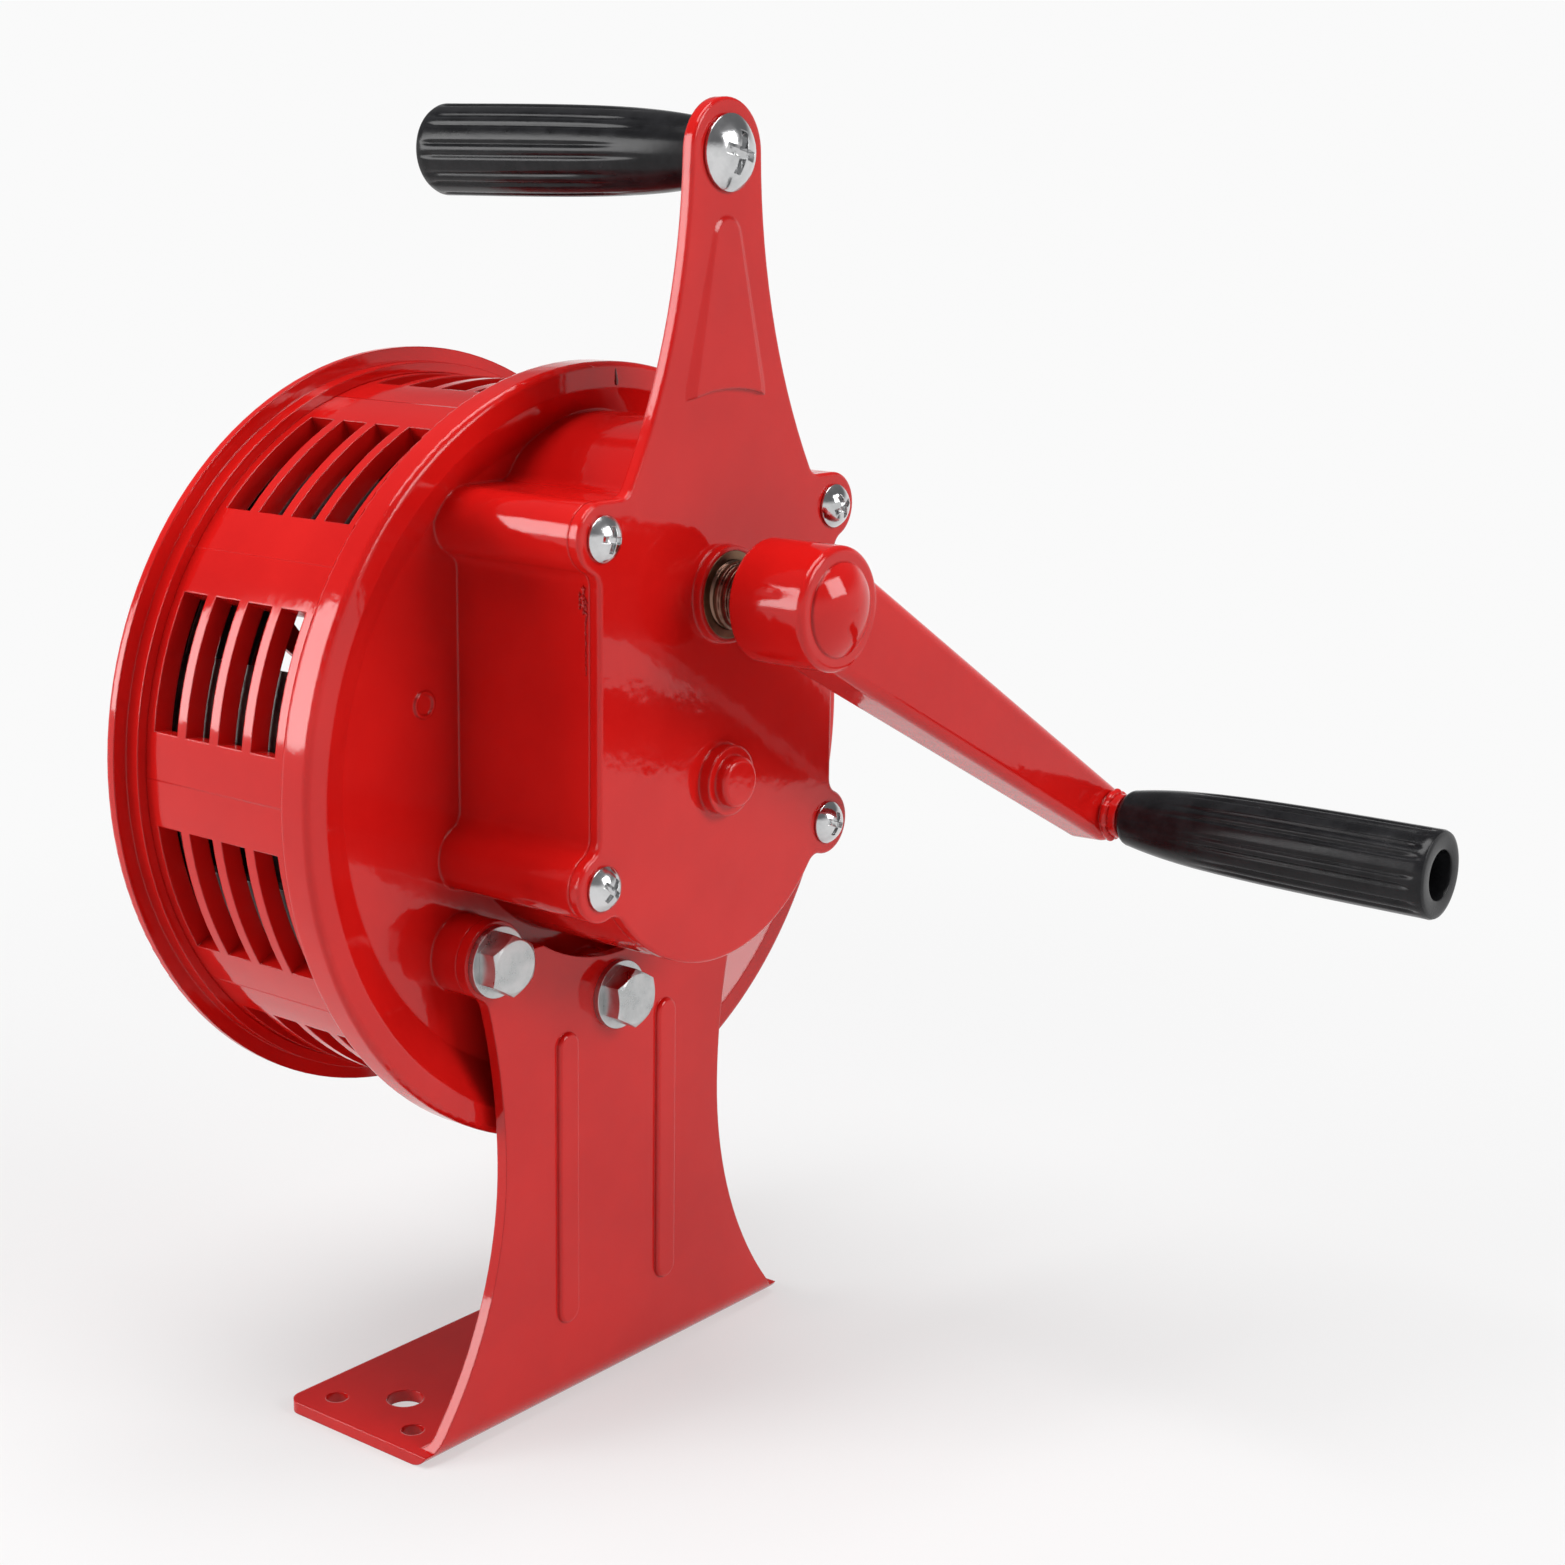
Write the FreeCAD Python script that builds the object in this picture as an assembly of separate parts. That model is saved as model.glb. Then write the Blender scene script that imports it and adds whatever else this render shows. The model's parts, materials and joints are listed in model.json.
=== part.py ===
import FreeCAD, Part
import math
import os
from FreeCAD import Vector

# Hand cranked siren: a geared rotor spins inside a vented drum behind a horn,
# on a bent floor or wall bracket, with a carrying arm and grip on top.
# Millimetres. X runs across, Y runs from the horn mouth back to the crank, Z is up.
# The origin is the middle of the foot's hole pattern, on the underside.

# Bracket, bent from one plate
BRACKET_THICKNESS = 3.0
BEND_INSIDE_RADIUS = 3.0
FOOT_HALF_WIDTH = 66.0
FOOT_TOE_LENGTH = 22.4
FOOT_CORNER_RADIUS = 4.0
FOOT_HOLE_SETBACK = 27.0
FOOT_BOLT_SPACING = 95.0
FOOT_BOLT_HOLE_RADIUS = 4.5
FOOT_SCREW_EDGE = 8.25
FOOT_SCREW_SPACING_Y = 26.5
FOOT_SCREW_HOLE_RADIUS = 2.75
WAIST_HALF_WIDTH = 39.0
WAIST_HEIGHT = 68.0
UPPER_FLANK_RADIUS = 155.0
PRESSED_RIB_SPACING = 36.0
PRESSED_RIB_WIDTH = 7.0
PRESSED_RIB_BOTTOM = 21.0
PRESSED_RIB_TO_BOLT = 5.5
PRESSED_RIB_RISE = 1.2
PRESSED_RIB_CREST_ROUND = 0.95

# Bracket bolts, on an arc about the horn axis, set in from the casing's rim
BRACKET_BOLT_RIM_SETBACK = 34.9
BRACKET_BOLT_STEP_DEG = 46.0
BRACKET_LOBE_RADIUS = 9.5
BRACKET_LOBE_BLEND = 5.0
SCALLOP_RELIEF = 1.0
BRACKET_BOLT_RADIUS = 4.0
BRACKET_BOLT_HEAD_FLATS = 13.0
BRACKET_BOLT_HEAD_HEIGHT = 5.3
BRACKET_BOLT_FACE_RADIUS = 6.2
BRACKET_BOLT_CHAMFER_DEG = 30.0
BRACKET_BOLT_LENGTH = 13.0
BRACKET_WASHER_RADIUS = 8.5
BRACKET_WASHER_THICKNESS = 1.6
BOLT_HOLE_CLEARANCE = 0.3

# Axes: the horn's above the foot's underside, the carrying grip's above the crank's
HORN_AXIS_HEIGHT = 160.5
CARRY_GRIP_RISE = 98.0

# Rear casing: a dished flange with the gear case on its back
FLANGE_OVERHANG = 6.15
CASING_STANDOFF = 8.0
CASING_WALL = 3.0
CASING_RIM_STEP = 6.0
CASING_RIM_FLAT = 6.0
CASING_DISH_SLOPE = 10.0
EDGE_ROUND = 1.5
GEAR_CASE_HALF_WIDTH = 42.0
GEAR_CASE_DEPTH = 40.5
GEAR_CASE_WALL = 3.5
GEAR_CASE_BOTTOM_SWELL = 1.7
GEAR_CASE_ARCH_RADIUS = 30.0
GEAR_CASE_ARCH_RISE = 9.0
COVER_SCREW_INSET = 1.0
COVER_SCREW_UPPER_RISE = 16.5
COVER_SCREW_LOWER_DROP = 18.0
COVER_LOBE_RADIUS = 8.0
COVER_LOBE_BLEND = 4.0
MOULD_MARK_RADIUS = 3.2
MOULD_MARK_HEIGHT = 0.5
MOULD_MARK_WALL = 0.8
MOULD_MARK_OFFSET_X = 52.9
MOULD_MARK_OFFSET_Z = 19.4

# Vented drum
DRUM_RADIUS = 87.75
DRUM_WALL = 5.0
DRUM_LENGTH = 56.0
VENT_GROUPS = 10
VENT_FIRST_DEG = 18.0
VENT_HALF_ANGLE_DEG = 10.7
VENT_SLOTS = 4
VENT_BAR_THICKNESS = 3.0
VENT_REAR_MARGIN = 8.4
VENT_FRONT_MARGIN = 6.6
SPIGOT_LENGTH = 3.0
SPIGOT_WALL = 3.0

# Horn and grille
HORN_FLANGE_THICKNESS = 3.2
HORN_SKIRT_LENGTH = 4.0
HORN_SKIRT_WALL = 2.5
LIP_OUTER_RADIUS = 69.0
LIP_ROLL_RADIUS = 7.5
LIP_PROJECTION = 11.5
LIP_FOOT_ROUND = 3.0
HORN_WALL = 3.0
GRILLE_THICKNESS = 1.6
GRILLE_SET_BACK = 3.0
GRILLE_CROWN = 8.7
GRILLE_SKIRT = 6.0
GRILLE_SLOTS = 18
SLOT_INNER_MARGIN = 7.4
SLOT_INNER_END_RADIUS = 2.2
SLOT_OUTER_MARGIN = 3.6
SLOT_OUTER_END_RADIUS = 4.1
GRILLE_DISC_RADIUS = 16.6
GRILLE_DISC_RECESS = 0.6

# Gear cover and carrying arm, one casting
COVER_THICKNESS = 3.0
ARM_TOP_RADIUS = 12.0
ARM_MIDDLE_HALF_WIDTH = 18.0
ARM_MIDDLE_DROP = 39.0
ARM_FOOT_HALF_WIDTH = 33.0
ARM_PANEL_TOP_DROP = 18.5
ARM_PANEL_TOP_RADIUS = 5.0
ARM_PANEL_LENGTH = 35.0
ARM_PANEL_FOOT_RADIUS = 14.0
ARM_PANEL_FOOT_ARC_RADIUS = 46.5
ARM_PANEL_FOOT_RISE = 1.3
ARM_PANEL_TOP_RISE = 0.4
ARM_PANEL_BEVEL = 2.6
CRANK_BOSS_RADIUS = 11.2
CRANK_BOSS_HEIGHT = 2.5
CRANK_BOSS_INSIDE_HEIGHT = 5.0
ROTOR_BOSS_BASE_RADIUS = 8.3
ROTOR_BOSS_BASE_HEIGHT = 3.0
ROTOR_BOSS_CAP_RADIUS = 6.0
ROTOR_BOSS_CAP_HEIGHT = 3.0
ROTOR_BOSS_ROUND = 1.2
COVER_SCREW_RADIUS = 2.5
COVER_SCREW_LENGTH = 16.0
COVER_SCREW_HEAD_RADIUS = 5.2
COVER_SCREW_HEAD_HEIGHT = 3.4

# Grips, the same moulding twice
GRIP_LENGTH = 84.5
GRIP_END_RADIUS = 10.75
GRIP_SHOULDER_RADIUS = 9.0
GRIP_SHOULDER_PLACE = 15.2
GRIP_SWELL_RADIUS = 10.45
GRIP_SWELL_PLACE = 46.5
GRIP_NECK_RADIUS = 7.2
GRIP_NECK_ROUND = 2.5
GRIP_BORE_RADIUS = 6.0
GRIP_CORE_LENGTH = 34.0
GRIP_CORE_HOLE_RADIUS = 4.1
GRIP_END_CHAMFER = 1.0
GRIP_FLUTES = 16
GRIP_FLUTE_DEPTH = 0.45
GRIP_FLUTE_RADIUS = 1.6
GRIP_FLUTE_START = 25.35
GRIP_FLUTE_END_MARGIN = 3.0
CARRY_SCREW_RADIUS = 4.0
CARRY_SCREW_HEAD_RADIUS = 8.5
CARRY_SCREW_HEAD_HEIGHT = 4.6
CARRY_SCREW_REACH = 30.0

# Crank
CRANK_RADIUS = 118.5
CRANK_REST_DEG = 212.1
CRANK_HUB_RADIUS = 14.2
CRANK_HUB_LENGTH = 21.0
CRANK_HUB_GAP = 10.0
CRANK_DOME_RADIUS = 10.6
CRANK_DOME_HEIGHT = 5.0
CRANK_ARM_HUB_DEPTH = 14.0
CRANK_ARM_TIP_DEPTH = 10.5
CRANK_ARM_HUB_RADIUS = 12.3
CRANK_ARM_TIP_RADIUS = 7.0
CRANK_ARM_SLANT = 12.0
CRANK_ARM_EDGE_ROUND = 2.8
CRANK_ARM_TIP_CHAMFER = 4.5
CRANK_COLLAR_RADIUS = 5.6
CRANK_COLLAR_LENGTH = 4.0
CRANK_SHAFT_RADIUS = 8.0
CRANK_SHAFT_IN_HUB = 15.0
CRANK_JOURNAL_RADIUS = 5.0
GRIP_PIN_RADIUS = 4.0
GRIP_PIN_SEAT_DEPTH = 7.0
GRIP_PIN_THREAD_RADIUS = 3.0
GRIP_NUT_FLATS = 9.8
GRIP_NUT_THICKNESS = 5.0

# Gear train: crank gear, compound idler, rotor pinion
GEAR_MODULE = 1.0
PRESSURE_ANGLE_DEG = 25.0
CRANK_GEAR_TEETH = 50
IDLER_PINION_TEETH = 12
IDLER_GEAR_TEETH = 36
ROTOR_PINION_TEETH = 12
IDLER_SIDE_OFFSET = 16.6
GEAR_BACKLASH = 0.16
FIRST_STAGE_FACE = 8.0
SECOND_STAGE_FACE = 8.0
PINION_EXTRA_FACE = 1.0
STAGE_GAP = 1.0
COVER_TO_GEAR_GAP = 7.5
CRANK_GEAR_WEB_RECESS = 2.0
CRANK_GEAR_HUB_RADIUS = 13.0
CRANK_GEAR_RIM = 4.0
IDLER_PIN_RADIUS = 3.0
IDLER_PIN_HEAD_RADIUS = 4.6
IDLER_PIN_HEAD_HEIGHT = 1.5

# Bushes and the bosses that hold them
BUSH_WALL = 2.0
BUSH_BOSS_WALL = 3.0
CASING_BOSS_HEIGHT = 11.0
ROTOR_BUSH_POCKET = 8.0

# Rotor
ROTOR_TIP_GAP = 1.45
ROTOR_RIM_THICKNESS = 2.5
ROTOR_FRONT_GAP = 3.5
ROTOR_REAR_GAP = 4.5
ROTOR_PLATE_THICKNESS = 2.5
ROTOR_FRONT_RING_WIDTH = 20.0
ROTOR_FRONT_RING_THICKNESS = 2.0
ROTOR_PORT_HALF_ANGLE_DEG = 10.0
ROTOR_REST_DEG = 12.0
ROTOR_VANE_THICKNESS = 2.0
ROTOR_VANE_ROOT_MARGIN = 2.0
ROTOR_VANE_ROOT_WIDTH = 3.0
ROTOR_HUB_RADIUS = 13.0
ROTOR_HUB_LENGTH = 26.0
ROTOR_SHAFT_RADIUS = 4.0
ROTOR_SHAFT_STICK_OUT = 3.0
ROTOR_NUT_FLATS = 13.0
ROTOR_NUT_THICKNESS = 6.5
ROTOR_WASHER_RADIUS = 9.0
ROTOR_WASHER_THICKNESS = 1.6

# Named clearances
SEAT_GAP = 0.05
RUNNING_GAP = 0.05
END_PLAY = 0.4
SHAFT_END_GAP = 1.0
CORNER_PIN_RADIUS = 0.2

# Planes along Y, front to back, worked out from the bracket's back face
bracket_back_y = FOOT_HOLE_SETBACK
bracket_front_y = bracket_back_y - BRACKET_THICKNESS
toe_y = -FOOT_TOE_LENGTH
casing_back_y = bracket_front_y - CASING_STANDOFF
casing_front_y = casing_back_y - CASING_WALL
casing_rim_y = casing_back_y + CASING_RIM_STEP
drum_front_y = casing_front_y - DRUM_LENGTH
horn_face_y = drum_front_y - HORN_FLANGE_THICKNESS
lip_crest_y = horn_face_y - LIP_PROJECTION
lip_centre_y = lip_crest_y + LIP_ROLL_RADIUS
cover_front_y = casing_back_y + GEAR_CASE_DEPTH
cover_back_y = cover_front_y + COVER_THICKNESS
crank_boss_y = cover_back_y + CRANK_BOSS_HEIGHT
hub_front_y = crank_boss_y + CRANK_HUB_GAP
hub_back_y = hub_front_y + CRANK_HUB_LENGTH
arm_tip_y = hub_back_y + CRANK_ARM_SLANT
collar_y = arm_tip_y + CRANK_COLLAR_LENGTH
grip_start_y = collar_y + END_PLAY
rotor_back_y = casing_front_y - ROTOR_REAR_GAP
rotor_plate_y = rotor_back_y - ROTOR_PLATE_THICKNESS
rotor_front_y = drum_front_y + ROTOR_FRONT_GAP
rotor_ring_y = rotor_front_y + ROTOR_FRONT_RING_THICKNESS
bush_boss_y = casing_back_y + CASING_BOSS_HEIGHT

# Gear faces along Y
crank_gear_back_y = cover_front_y - COVER_TO_GEAR_GAP
crank_gear_front_y = crank_gear_back_y - FIRST_STAGE_FACE
idler_pinion_back_y = crank_gear_back_y + PINION_EXTRA_FACE
idler_gear_back_y = crank_gear_front_y - STAGE_GAP
idler_gear_front_y = idler_gear_back_y - SECOND_STAGE_FACE
rotor_pinion_back_y = idler_gear_back_y + STAGE_GAP / 2
rotor_pinion_front_y = idler_gear_front_y - PINION_EXTRA_FACE

# The drum sets the radii of both flanges, of the bolts behind the rear one, and of the rotor inside
flange_radius = DRUM_RADIUS + FLANGE_OVERHANG
bracket_bolt_circle = flange_radius - BRACKET_BOLT_RIM_SETBACK
drum_bore_radius = DRUM_RADIUS - DRUM_WALL
rotor_radius = drum_bore_radius - ROTOR_TIP_GAP

# The grille fills the throat, whose bore is what the rolled lip leaves open
lip_centre_radius = LIP_OUTER_RADIUS - LIP_ROLL_RADIUS
throat_radius = lip_centre_radius - LIP_ROLL_RADIUS
grille_radius = throat_radius - SEAT_GAP
grille_rim_y = lip_crest_y + GRILLE_SET_BACK

# The idler stands a set way to the side, its centre distances being those of the two gear pairs,
# and that gives its own height above the rotor and the crank's height above the idler
crank_to_idler = GEAR_MODULE * (CRANK_GEAR_TEETH + IDLER_PINION_TEETH) / 2
idler_to_rotor = GEAR_MODULE * (IDLER_GEAR_TEETH + ROTOR_PINION_TEETH) / 2
idler_x = IDLER_SIDE_OFFSET
idler_z = HORN_AXIS_HEIGHT + math.sqrt(idler_to_rotor ** 2 - idler_x ** 2)
crank_z = idler_z + math.sqrt(crank_to_idler ** 2 - idler_x ** 2)

# The cover's screws, and the shoulders that run level with the tops of the upper screw lobes
cover_screw_x = GEAR_CASE_HALF_WIDTH - COVER_SCREW_INSET
cover_screw_upper_z = crank_z + COVER_SCREW_UPPER_RISE
cover_screw_lower_z = HORN_AXIS_HEIGHT - COVER_SCREW_LOWER_DROP
shoulder_z = cover_screw_upper_z + COVER_LOBE_RADIUS

carry_grip_z = crank_z + CARRY_GRIP_RISE
foot_screw_x = FOOT_HALF_WIDTH - FOOT_SCREW_EDGE

crank_turn = math.radians(CRANK_REST_DEG)
crank_tip_x = CRANK_RADIUS * math.cos(crank_turn)
crank_tip_z = crank_z + CRANK_RADIUS * math.sin(crank_turn)

ALONG_Y = Vector(0, 1, 0)


# Small helpers

def write(node, shape):
    shape.exportStep("parts/" + node + ".step")
    print(node, "solids", len(shape.Solids), "volume", round(shape.Volume, 1))


def cylinder(radius, y0, y1, x=0.0, z=HORN_AXIS_HEIGHT):
    return Part.makeCylinder(radius, y1 - y0, Vector(x, y0, z), ALONG_Y)


def tube(outer, inner, y0, y1, x=0.0, z=HORN_AXIS_HEIGHT):
    return cylinder(outer, y0, y1, x, z).cut(cylinder(inner, y0 - 1, y1 + 1, x, z))


def disc_face(radius, x, z):
    return Part.Face(Part.Wire(Part.makeCircle(radius, Vector(x, 0, z), ALONG_Y)))


def face_of(edges):
    return Part.Face(Part.Wire(Part.__sortEdges__(edges)))


def line(a, b):
    return Part.LineSegment(a, b).toShape()


def arc(a, middle, b):
    return Part.Arc(a, middle, b).toShape()


def prism(faces, y0, y1):
    """Flat outlines in the XZ plane, joined and drawn out along Y."""
    solids = []
    for face in faces:
        solid = face.extrude(Vector(0, y1 - y0, 0))
        solid.translate(Vector(0, y0, 0))
        if solid.Volume < 0:
            solid.reverse()
        solids.append(solid)
    if len(solids) == 1:
        return solids[0]
    return solids[0].fuse(solids[1:]).removeSplitter()


def blended(solid, radius):
    """Round every inside corner of a drawn out outline: there the solid fills most of a thin pin."""
    box = solid.BoundBox
    corners = []
    for edge in solid.Edges:
        run = edge.BoundBox
        if run.XLength > 0.001 or run.ZLength > 0.001:
            continue
        pin = cylinder(CORNER_PIN_RADIUS, box.YMin, box.YMax, run.XMin, run.ZMin)
        if pin.common(solid).Volume > 0.55 * pin.Volume:
            corners.append(edge)
    return solid.makeFillet(radius, corners)


def rectangle_face(x0, x1, z0, z1):
    corners = [Vector(x0, 0, z0), Vector(x1, 0, z0), Vector(x1, 0, z1), Vector(x0, 0, z1)]
    return Part.Face(Part.makePolygon(corners + corners[:1]))


def two_circle_face(x0, z0, r0, x1, z1, r1):
    """Outline that wraps two circles, with straight tangents between them."""
    dx, dz = x1 - x0, z1 - z0
    length = math.hypot(dx, dz)
    heading = math.atan2(dz, dx)
    spread = math.acos((r0 - r1) / length)

    def on(cx, cz, r, angle):
        return Vector(cx + r * math.cos(angle), 0, cz + r * math.sin(angle))

    a = on(x0, z0, r0, heading + spread)
    b = on(x1, z1, r1, heading + spread)
    c = on(x1, z1, r1, heading - spread)
    d = on(x0, z0, r0, heading - spread)
    far = on(x1, z1, r1, heading)
    near = on(x0, z0, r0, heading + math.pi)
    return face_of([line(a, b), arc(b, far, c), line(c, d), arc(d, near, a)])


def turned(edges, z=HORN_AXIS_HEIGHT, x=0.0):
    """Solid of revolution: profile points are (radius, y) as Vector(radius, y, 0)."""
    solid = face_of(edges).revolve(Vector(0, 0, 0), ALONG_Y, 360)
    solid.translate(Vector(x, 0, z))
    return solid


def closed_lines(points):
    return [line(a, b) for a, b in zip(points, points[1:] + points[:1])]


def hexagon(flats, y0, y1, x, z):
    """Six-sided block of that width across flats, with two of its flats upright."""
    radius = flats / math.sqrt(3)
    turns = [math.radians(30 + 60 * k) for k in range(6)]
    corners = [Vector(x + radius * math.cos(turn), 0, z + radius * math.sin(turn)) for turn in turns]
    return prism([Part.Face(Part.makePolygon(corners + corners[:1]))], y0, y1)


def about_horn(shape, degrees):
    """Turn a copy about the horn axis; positive turns from +X towards +Z."""
    copy = shape.copy()
    copy.rotate(Vector(0, 0, HORN_AXIS_HEIGHT), ALONG_Y, -degrees)
    return copy


def bracket_bolt_places():
    places = []
    for step in (-1, 0, 1):
        turn = math.radians(-90 + step * BRACKET_BOLT_STEP_DEG)
        places.append((bracket_bolt_circle * math.cos(turn),
                       HORN_AXIS_HEIGHT + bracket_bolt_circle * math.sin(turn)))
    return places


def cover_screw_places():
    return [(side * cover_screw_x, height)
            for side in (-1, 1)
            for height in (cover_screw_lower_z, cover_screw_upper_z)]


# Mounting bracket

def bracket_upright(y0, y1):
    """Upright plate: flared foot, waist, bolt lobes, top scalloped about the horn axis."""
    places = bracket_bolt_places()
    lobe_x, lobe_z = places[2]
    drop = WAIST_HEIGHT
    reach = FOOT_HALF_WIDTH - WAIST_HALF_WIDTH
    lower_radius = (reach ** 2 + drop ** 2) / (2 * reach)
    half_turn = math.atan2(drop, lower_radius - reach) / 2
    middle = Vector(WAIST_HALF_WIDTH + lower_radius * (1 - math.cos(half_turn)), 0,
                    WAIST_HEIGHT - lower_radius * math.sin(half_turn))
    rise = lobe_z - WAIST_HEIGHT
    top_turn = math.asin(rise / UPPER_FLANK_RADIUS)

    def upper(turn):
        return Vector(WAIST_HALF_WIDTH + UPPER_FLANK_RADIUS * (1 - math.cos(turn)), 0,
                      WAIST_HEIGHT + UPPER_FLANK_RADIUS * math.sin(turn))

    foot = Vector(FOOT_HALF_WIDTH, 0, 0)
    waist = Vector(WAIST_HALF_WIDTH, 0, WAIST_HEIGHT)
    top = upper(top_turn)

    def mirror(point):
        return Vector(-point.x, 0, point.z)

    edges = [arc(foot, middle, waist), arc(waist, upper(top_turn / 2), top), line(top, mirror(top)),
             arc(mirror(top), mirror(upper(top_turn / 2)), mirror(waist)),
             arc(mirror(waist), mirror(middle), mirror(foot)), line(mirror(foot), foot)]
    faces = [face_of(edges)] + [disc_face(BRACKET_LOBE_RADIUS, x, z) for x, z in places]
    scallop_radius = bracket_bolt_circle - BRACKET_LOBE_RADIUS - SCALLOP_RELIEF
    plate = prism(faces, y0, y1).cut(cylinder(scallop_radius, y0 - 1, y1 + 1))
    return blended(plate, BRACKET_LOBE_BLEND)


def bent_strip(height):
    """The strip's side view, foot then bend then upright, drawn out across the full width."""
    back = bracket_back_y
    outer = BEND_INSIDE_RADIUS + BRACKET_THICKNESS
    inner = BEND_INSIDE_RADIUS
    centre = Vector(0, back - outer, outer)
    diagonal = Vector(0, math.sqrt(0.5), -math.sqrt(0.5))
    t = BRACKET_THICKNESS
    corners = [Vector(0, toe_y, 0), Vector(0, back - outer, 0), Vector(0, back, outer),
               Vector(0, back, height), Vector(0, back - t, height), Vector(0, back - t, outer),
               Vector(0, back - outer, t), Vector(0, toe_y, t)]
    edges = [line(corners[0], corners[1]),
             arc(corners[1], centre + diagonal * outer, corners[2]),
             line(corners[2], corners[3]), line(corners[3], corners[4]), line(corners[4], corners[5]),
             arc(corners[5], centre + diagonal * inner, corners[6]),
             line(corners[6], corners[7]), line(corners[7], corners[0])]
    strip = face_of(edges).extrude(Vector(2 * FOOT_HALF_WIDTH, 0, 0))
    strip.translate(Vector(-FOOT_HALF_WIDTH, 0, 0))
    return strip


def mounting_bracket():
    top = HORN_AXIS_HEIGHT
    strip = bent_strip(top)
    outline = bracket_upright(toe_y - 1, bracket_back_y + 1)
    bend_top = BEND_INSIDE_RADIUS + BRACKET_THICKNESS
    wide = 2 * FOOT_HALF_WIDTH
    depth = bracket_back_y - toe_y
    foot_room = Part.makeBox(wide, depth, bend_top, Vector(-FOOT_HALF_WIDTH, toe_y, 0))
    foot = strip.common(foot_room)
    toe_edges = [e for e in foot.Edges
                 if e.BoundBox.YMax < toe_y + 0.01 and e.BoundBox.ZLength > 0.5]
    foot = foot.makeFillet(FOOT_CORNER_RADIUS, toe_edges)
    upright_room = Part.makeBox(wide, depth, top - bend_top, Vector(-FOOT_HALF_WIDTH, toe_y, bend_top))
    upright = strip.common(upright_room).common(outline)
    low = bend_top - BRACKET_THICKNESS
    bend_room = Part.makeBox(wide, bend_top, bend_top - low,
                             Vector(-FOOT_HALF_WIDTH, bracket_back_y - bend_top, low))
    bend_waste = bend_room.cut(outline)
    bracket = foot.cut(bend_waste).fuse(upright).removeSplitter()
    radius = PRESSED_RIB_WIDTH / 2
    rib_top = HORN_AXIS_HEIGHT - bracket_bolt_circle - PRESSED_RIB_TO_BOLT - radius
    for side in (-1, 1):
        x = side * PRESSED_RIB_SPACING / 2
        rib = two_circle_face(x, PRESSED_RIB_BOTTOM + radius, radius, x, rib_top, radius)
        ridge = prism([rib], bracket_back_y - 0.5, bracket_back_y + PRESSED_RIB_RISE)
        crest = [e for e in ridge.Edges if e.BoundBox.YMin > bracket_back_y + PRESSED_RIB_RISE - 0.01]
        ridge = ridge.makeFillet(PRESSED_RIB_CREST_ROUND, crest)
        inner = radius - PRESSED_RIB_RISE / 2
        trough = two_circle_face(x, PRESSED_RIB_BOTTOM + radius, inner, x, rib_top, inner)
        groove = prism([trough], bracket_front_y - 1, bracket_front_y + PRESSED_RIB_RISE)
        bracket = bracket.fuse(ridge).cut(groove)
    holes = []
    for x, z in bracket_bolt_places():
        holes.append(cylinder(BRACKET_BOLT_RADIUS + BOLT_HOLE_CLEARANCE,
                              bracket_front_y - 1, bracket_back_y + 1, x, z))
    for side in (-1, 1):
        holes.append(Part.makeCylinder(FOOT_BOLT_HOLE_RADIUS, BRACKET_THICKNESS + 2,
                                       Vector(side * FOOT_BOLT_SPACING / 2, 0, -1)))
        for end in (-1, 1):
            holes.append(Part.makeCylinder(FOOT_SCREW_HOLE_RADIUS, BRACKET_THICKNESS + 2,
                                           Vector(side * foot_screw_x,
                                                  end * FOOT_SCREW_SPACING_Y / 2, -1)))
    return bracket.cut(holes)


def bracket_washers():
    back = bracket_back_y + BRACKET_WASHER_THICKNESS
    return Part.makeCompound([tube(BRACKET_WASHER_RADIUS, BRACKET_BOLT_RADIUS + BOLT_HOLE_CLEARANCE,
                                   bracket_back_y, back, x, z) for x, z in bracket_bolt_places()])


def bracket_bolt(x, z):
    """Hex bolt: chamfered head on a plain shank."""
    seat = bracket_back_y + BRACKET_WASHER_THICKNESS
    top = seat + BRACKET_BOLT_HEAD_HEIGHT
    head = hexagon(BRACKET_BOLT_HEAD_FLATS, seat, top, x, z)
    corner = BRACKET_BOLT_HEAD_FLATS / math.sqrt(3)
    face = BRACKET_BOLT_FACE_RADIUS
    spread = BRACKET_BOLT_HEAD_HEIGHT / math.tan(math.radians(BRACKET_BOLT_CHAMFER_DEG))
    cone = Part.makeCone(face + spread, face, BRACKET_BOLT_HEAD_HEIGHT, Vector(x, seat, z), ALONG_Y)
    head = head.common(cone).common(cylinder(corner + 1, seat, top, x, z))
    shank = cylinder(BRACKET_BOLT_RADIUS, seat - BRACKET_BOLT_LENGTH, seat + 1, x, z)
    return head.fuse(shank).removeSplitter()


# Rear casing and gear case

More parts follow.
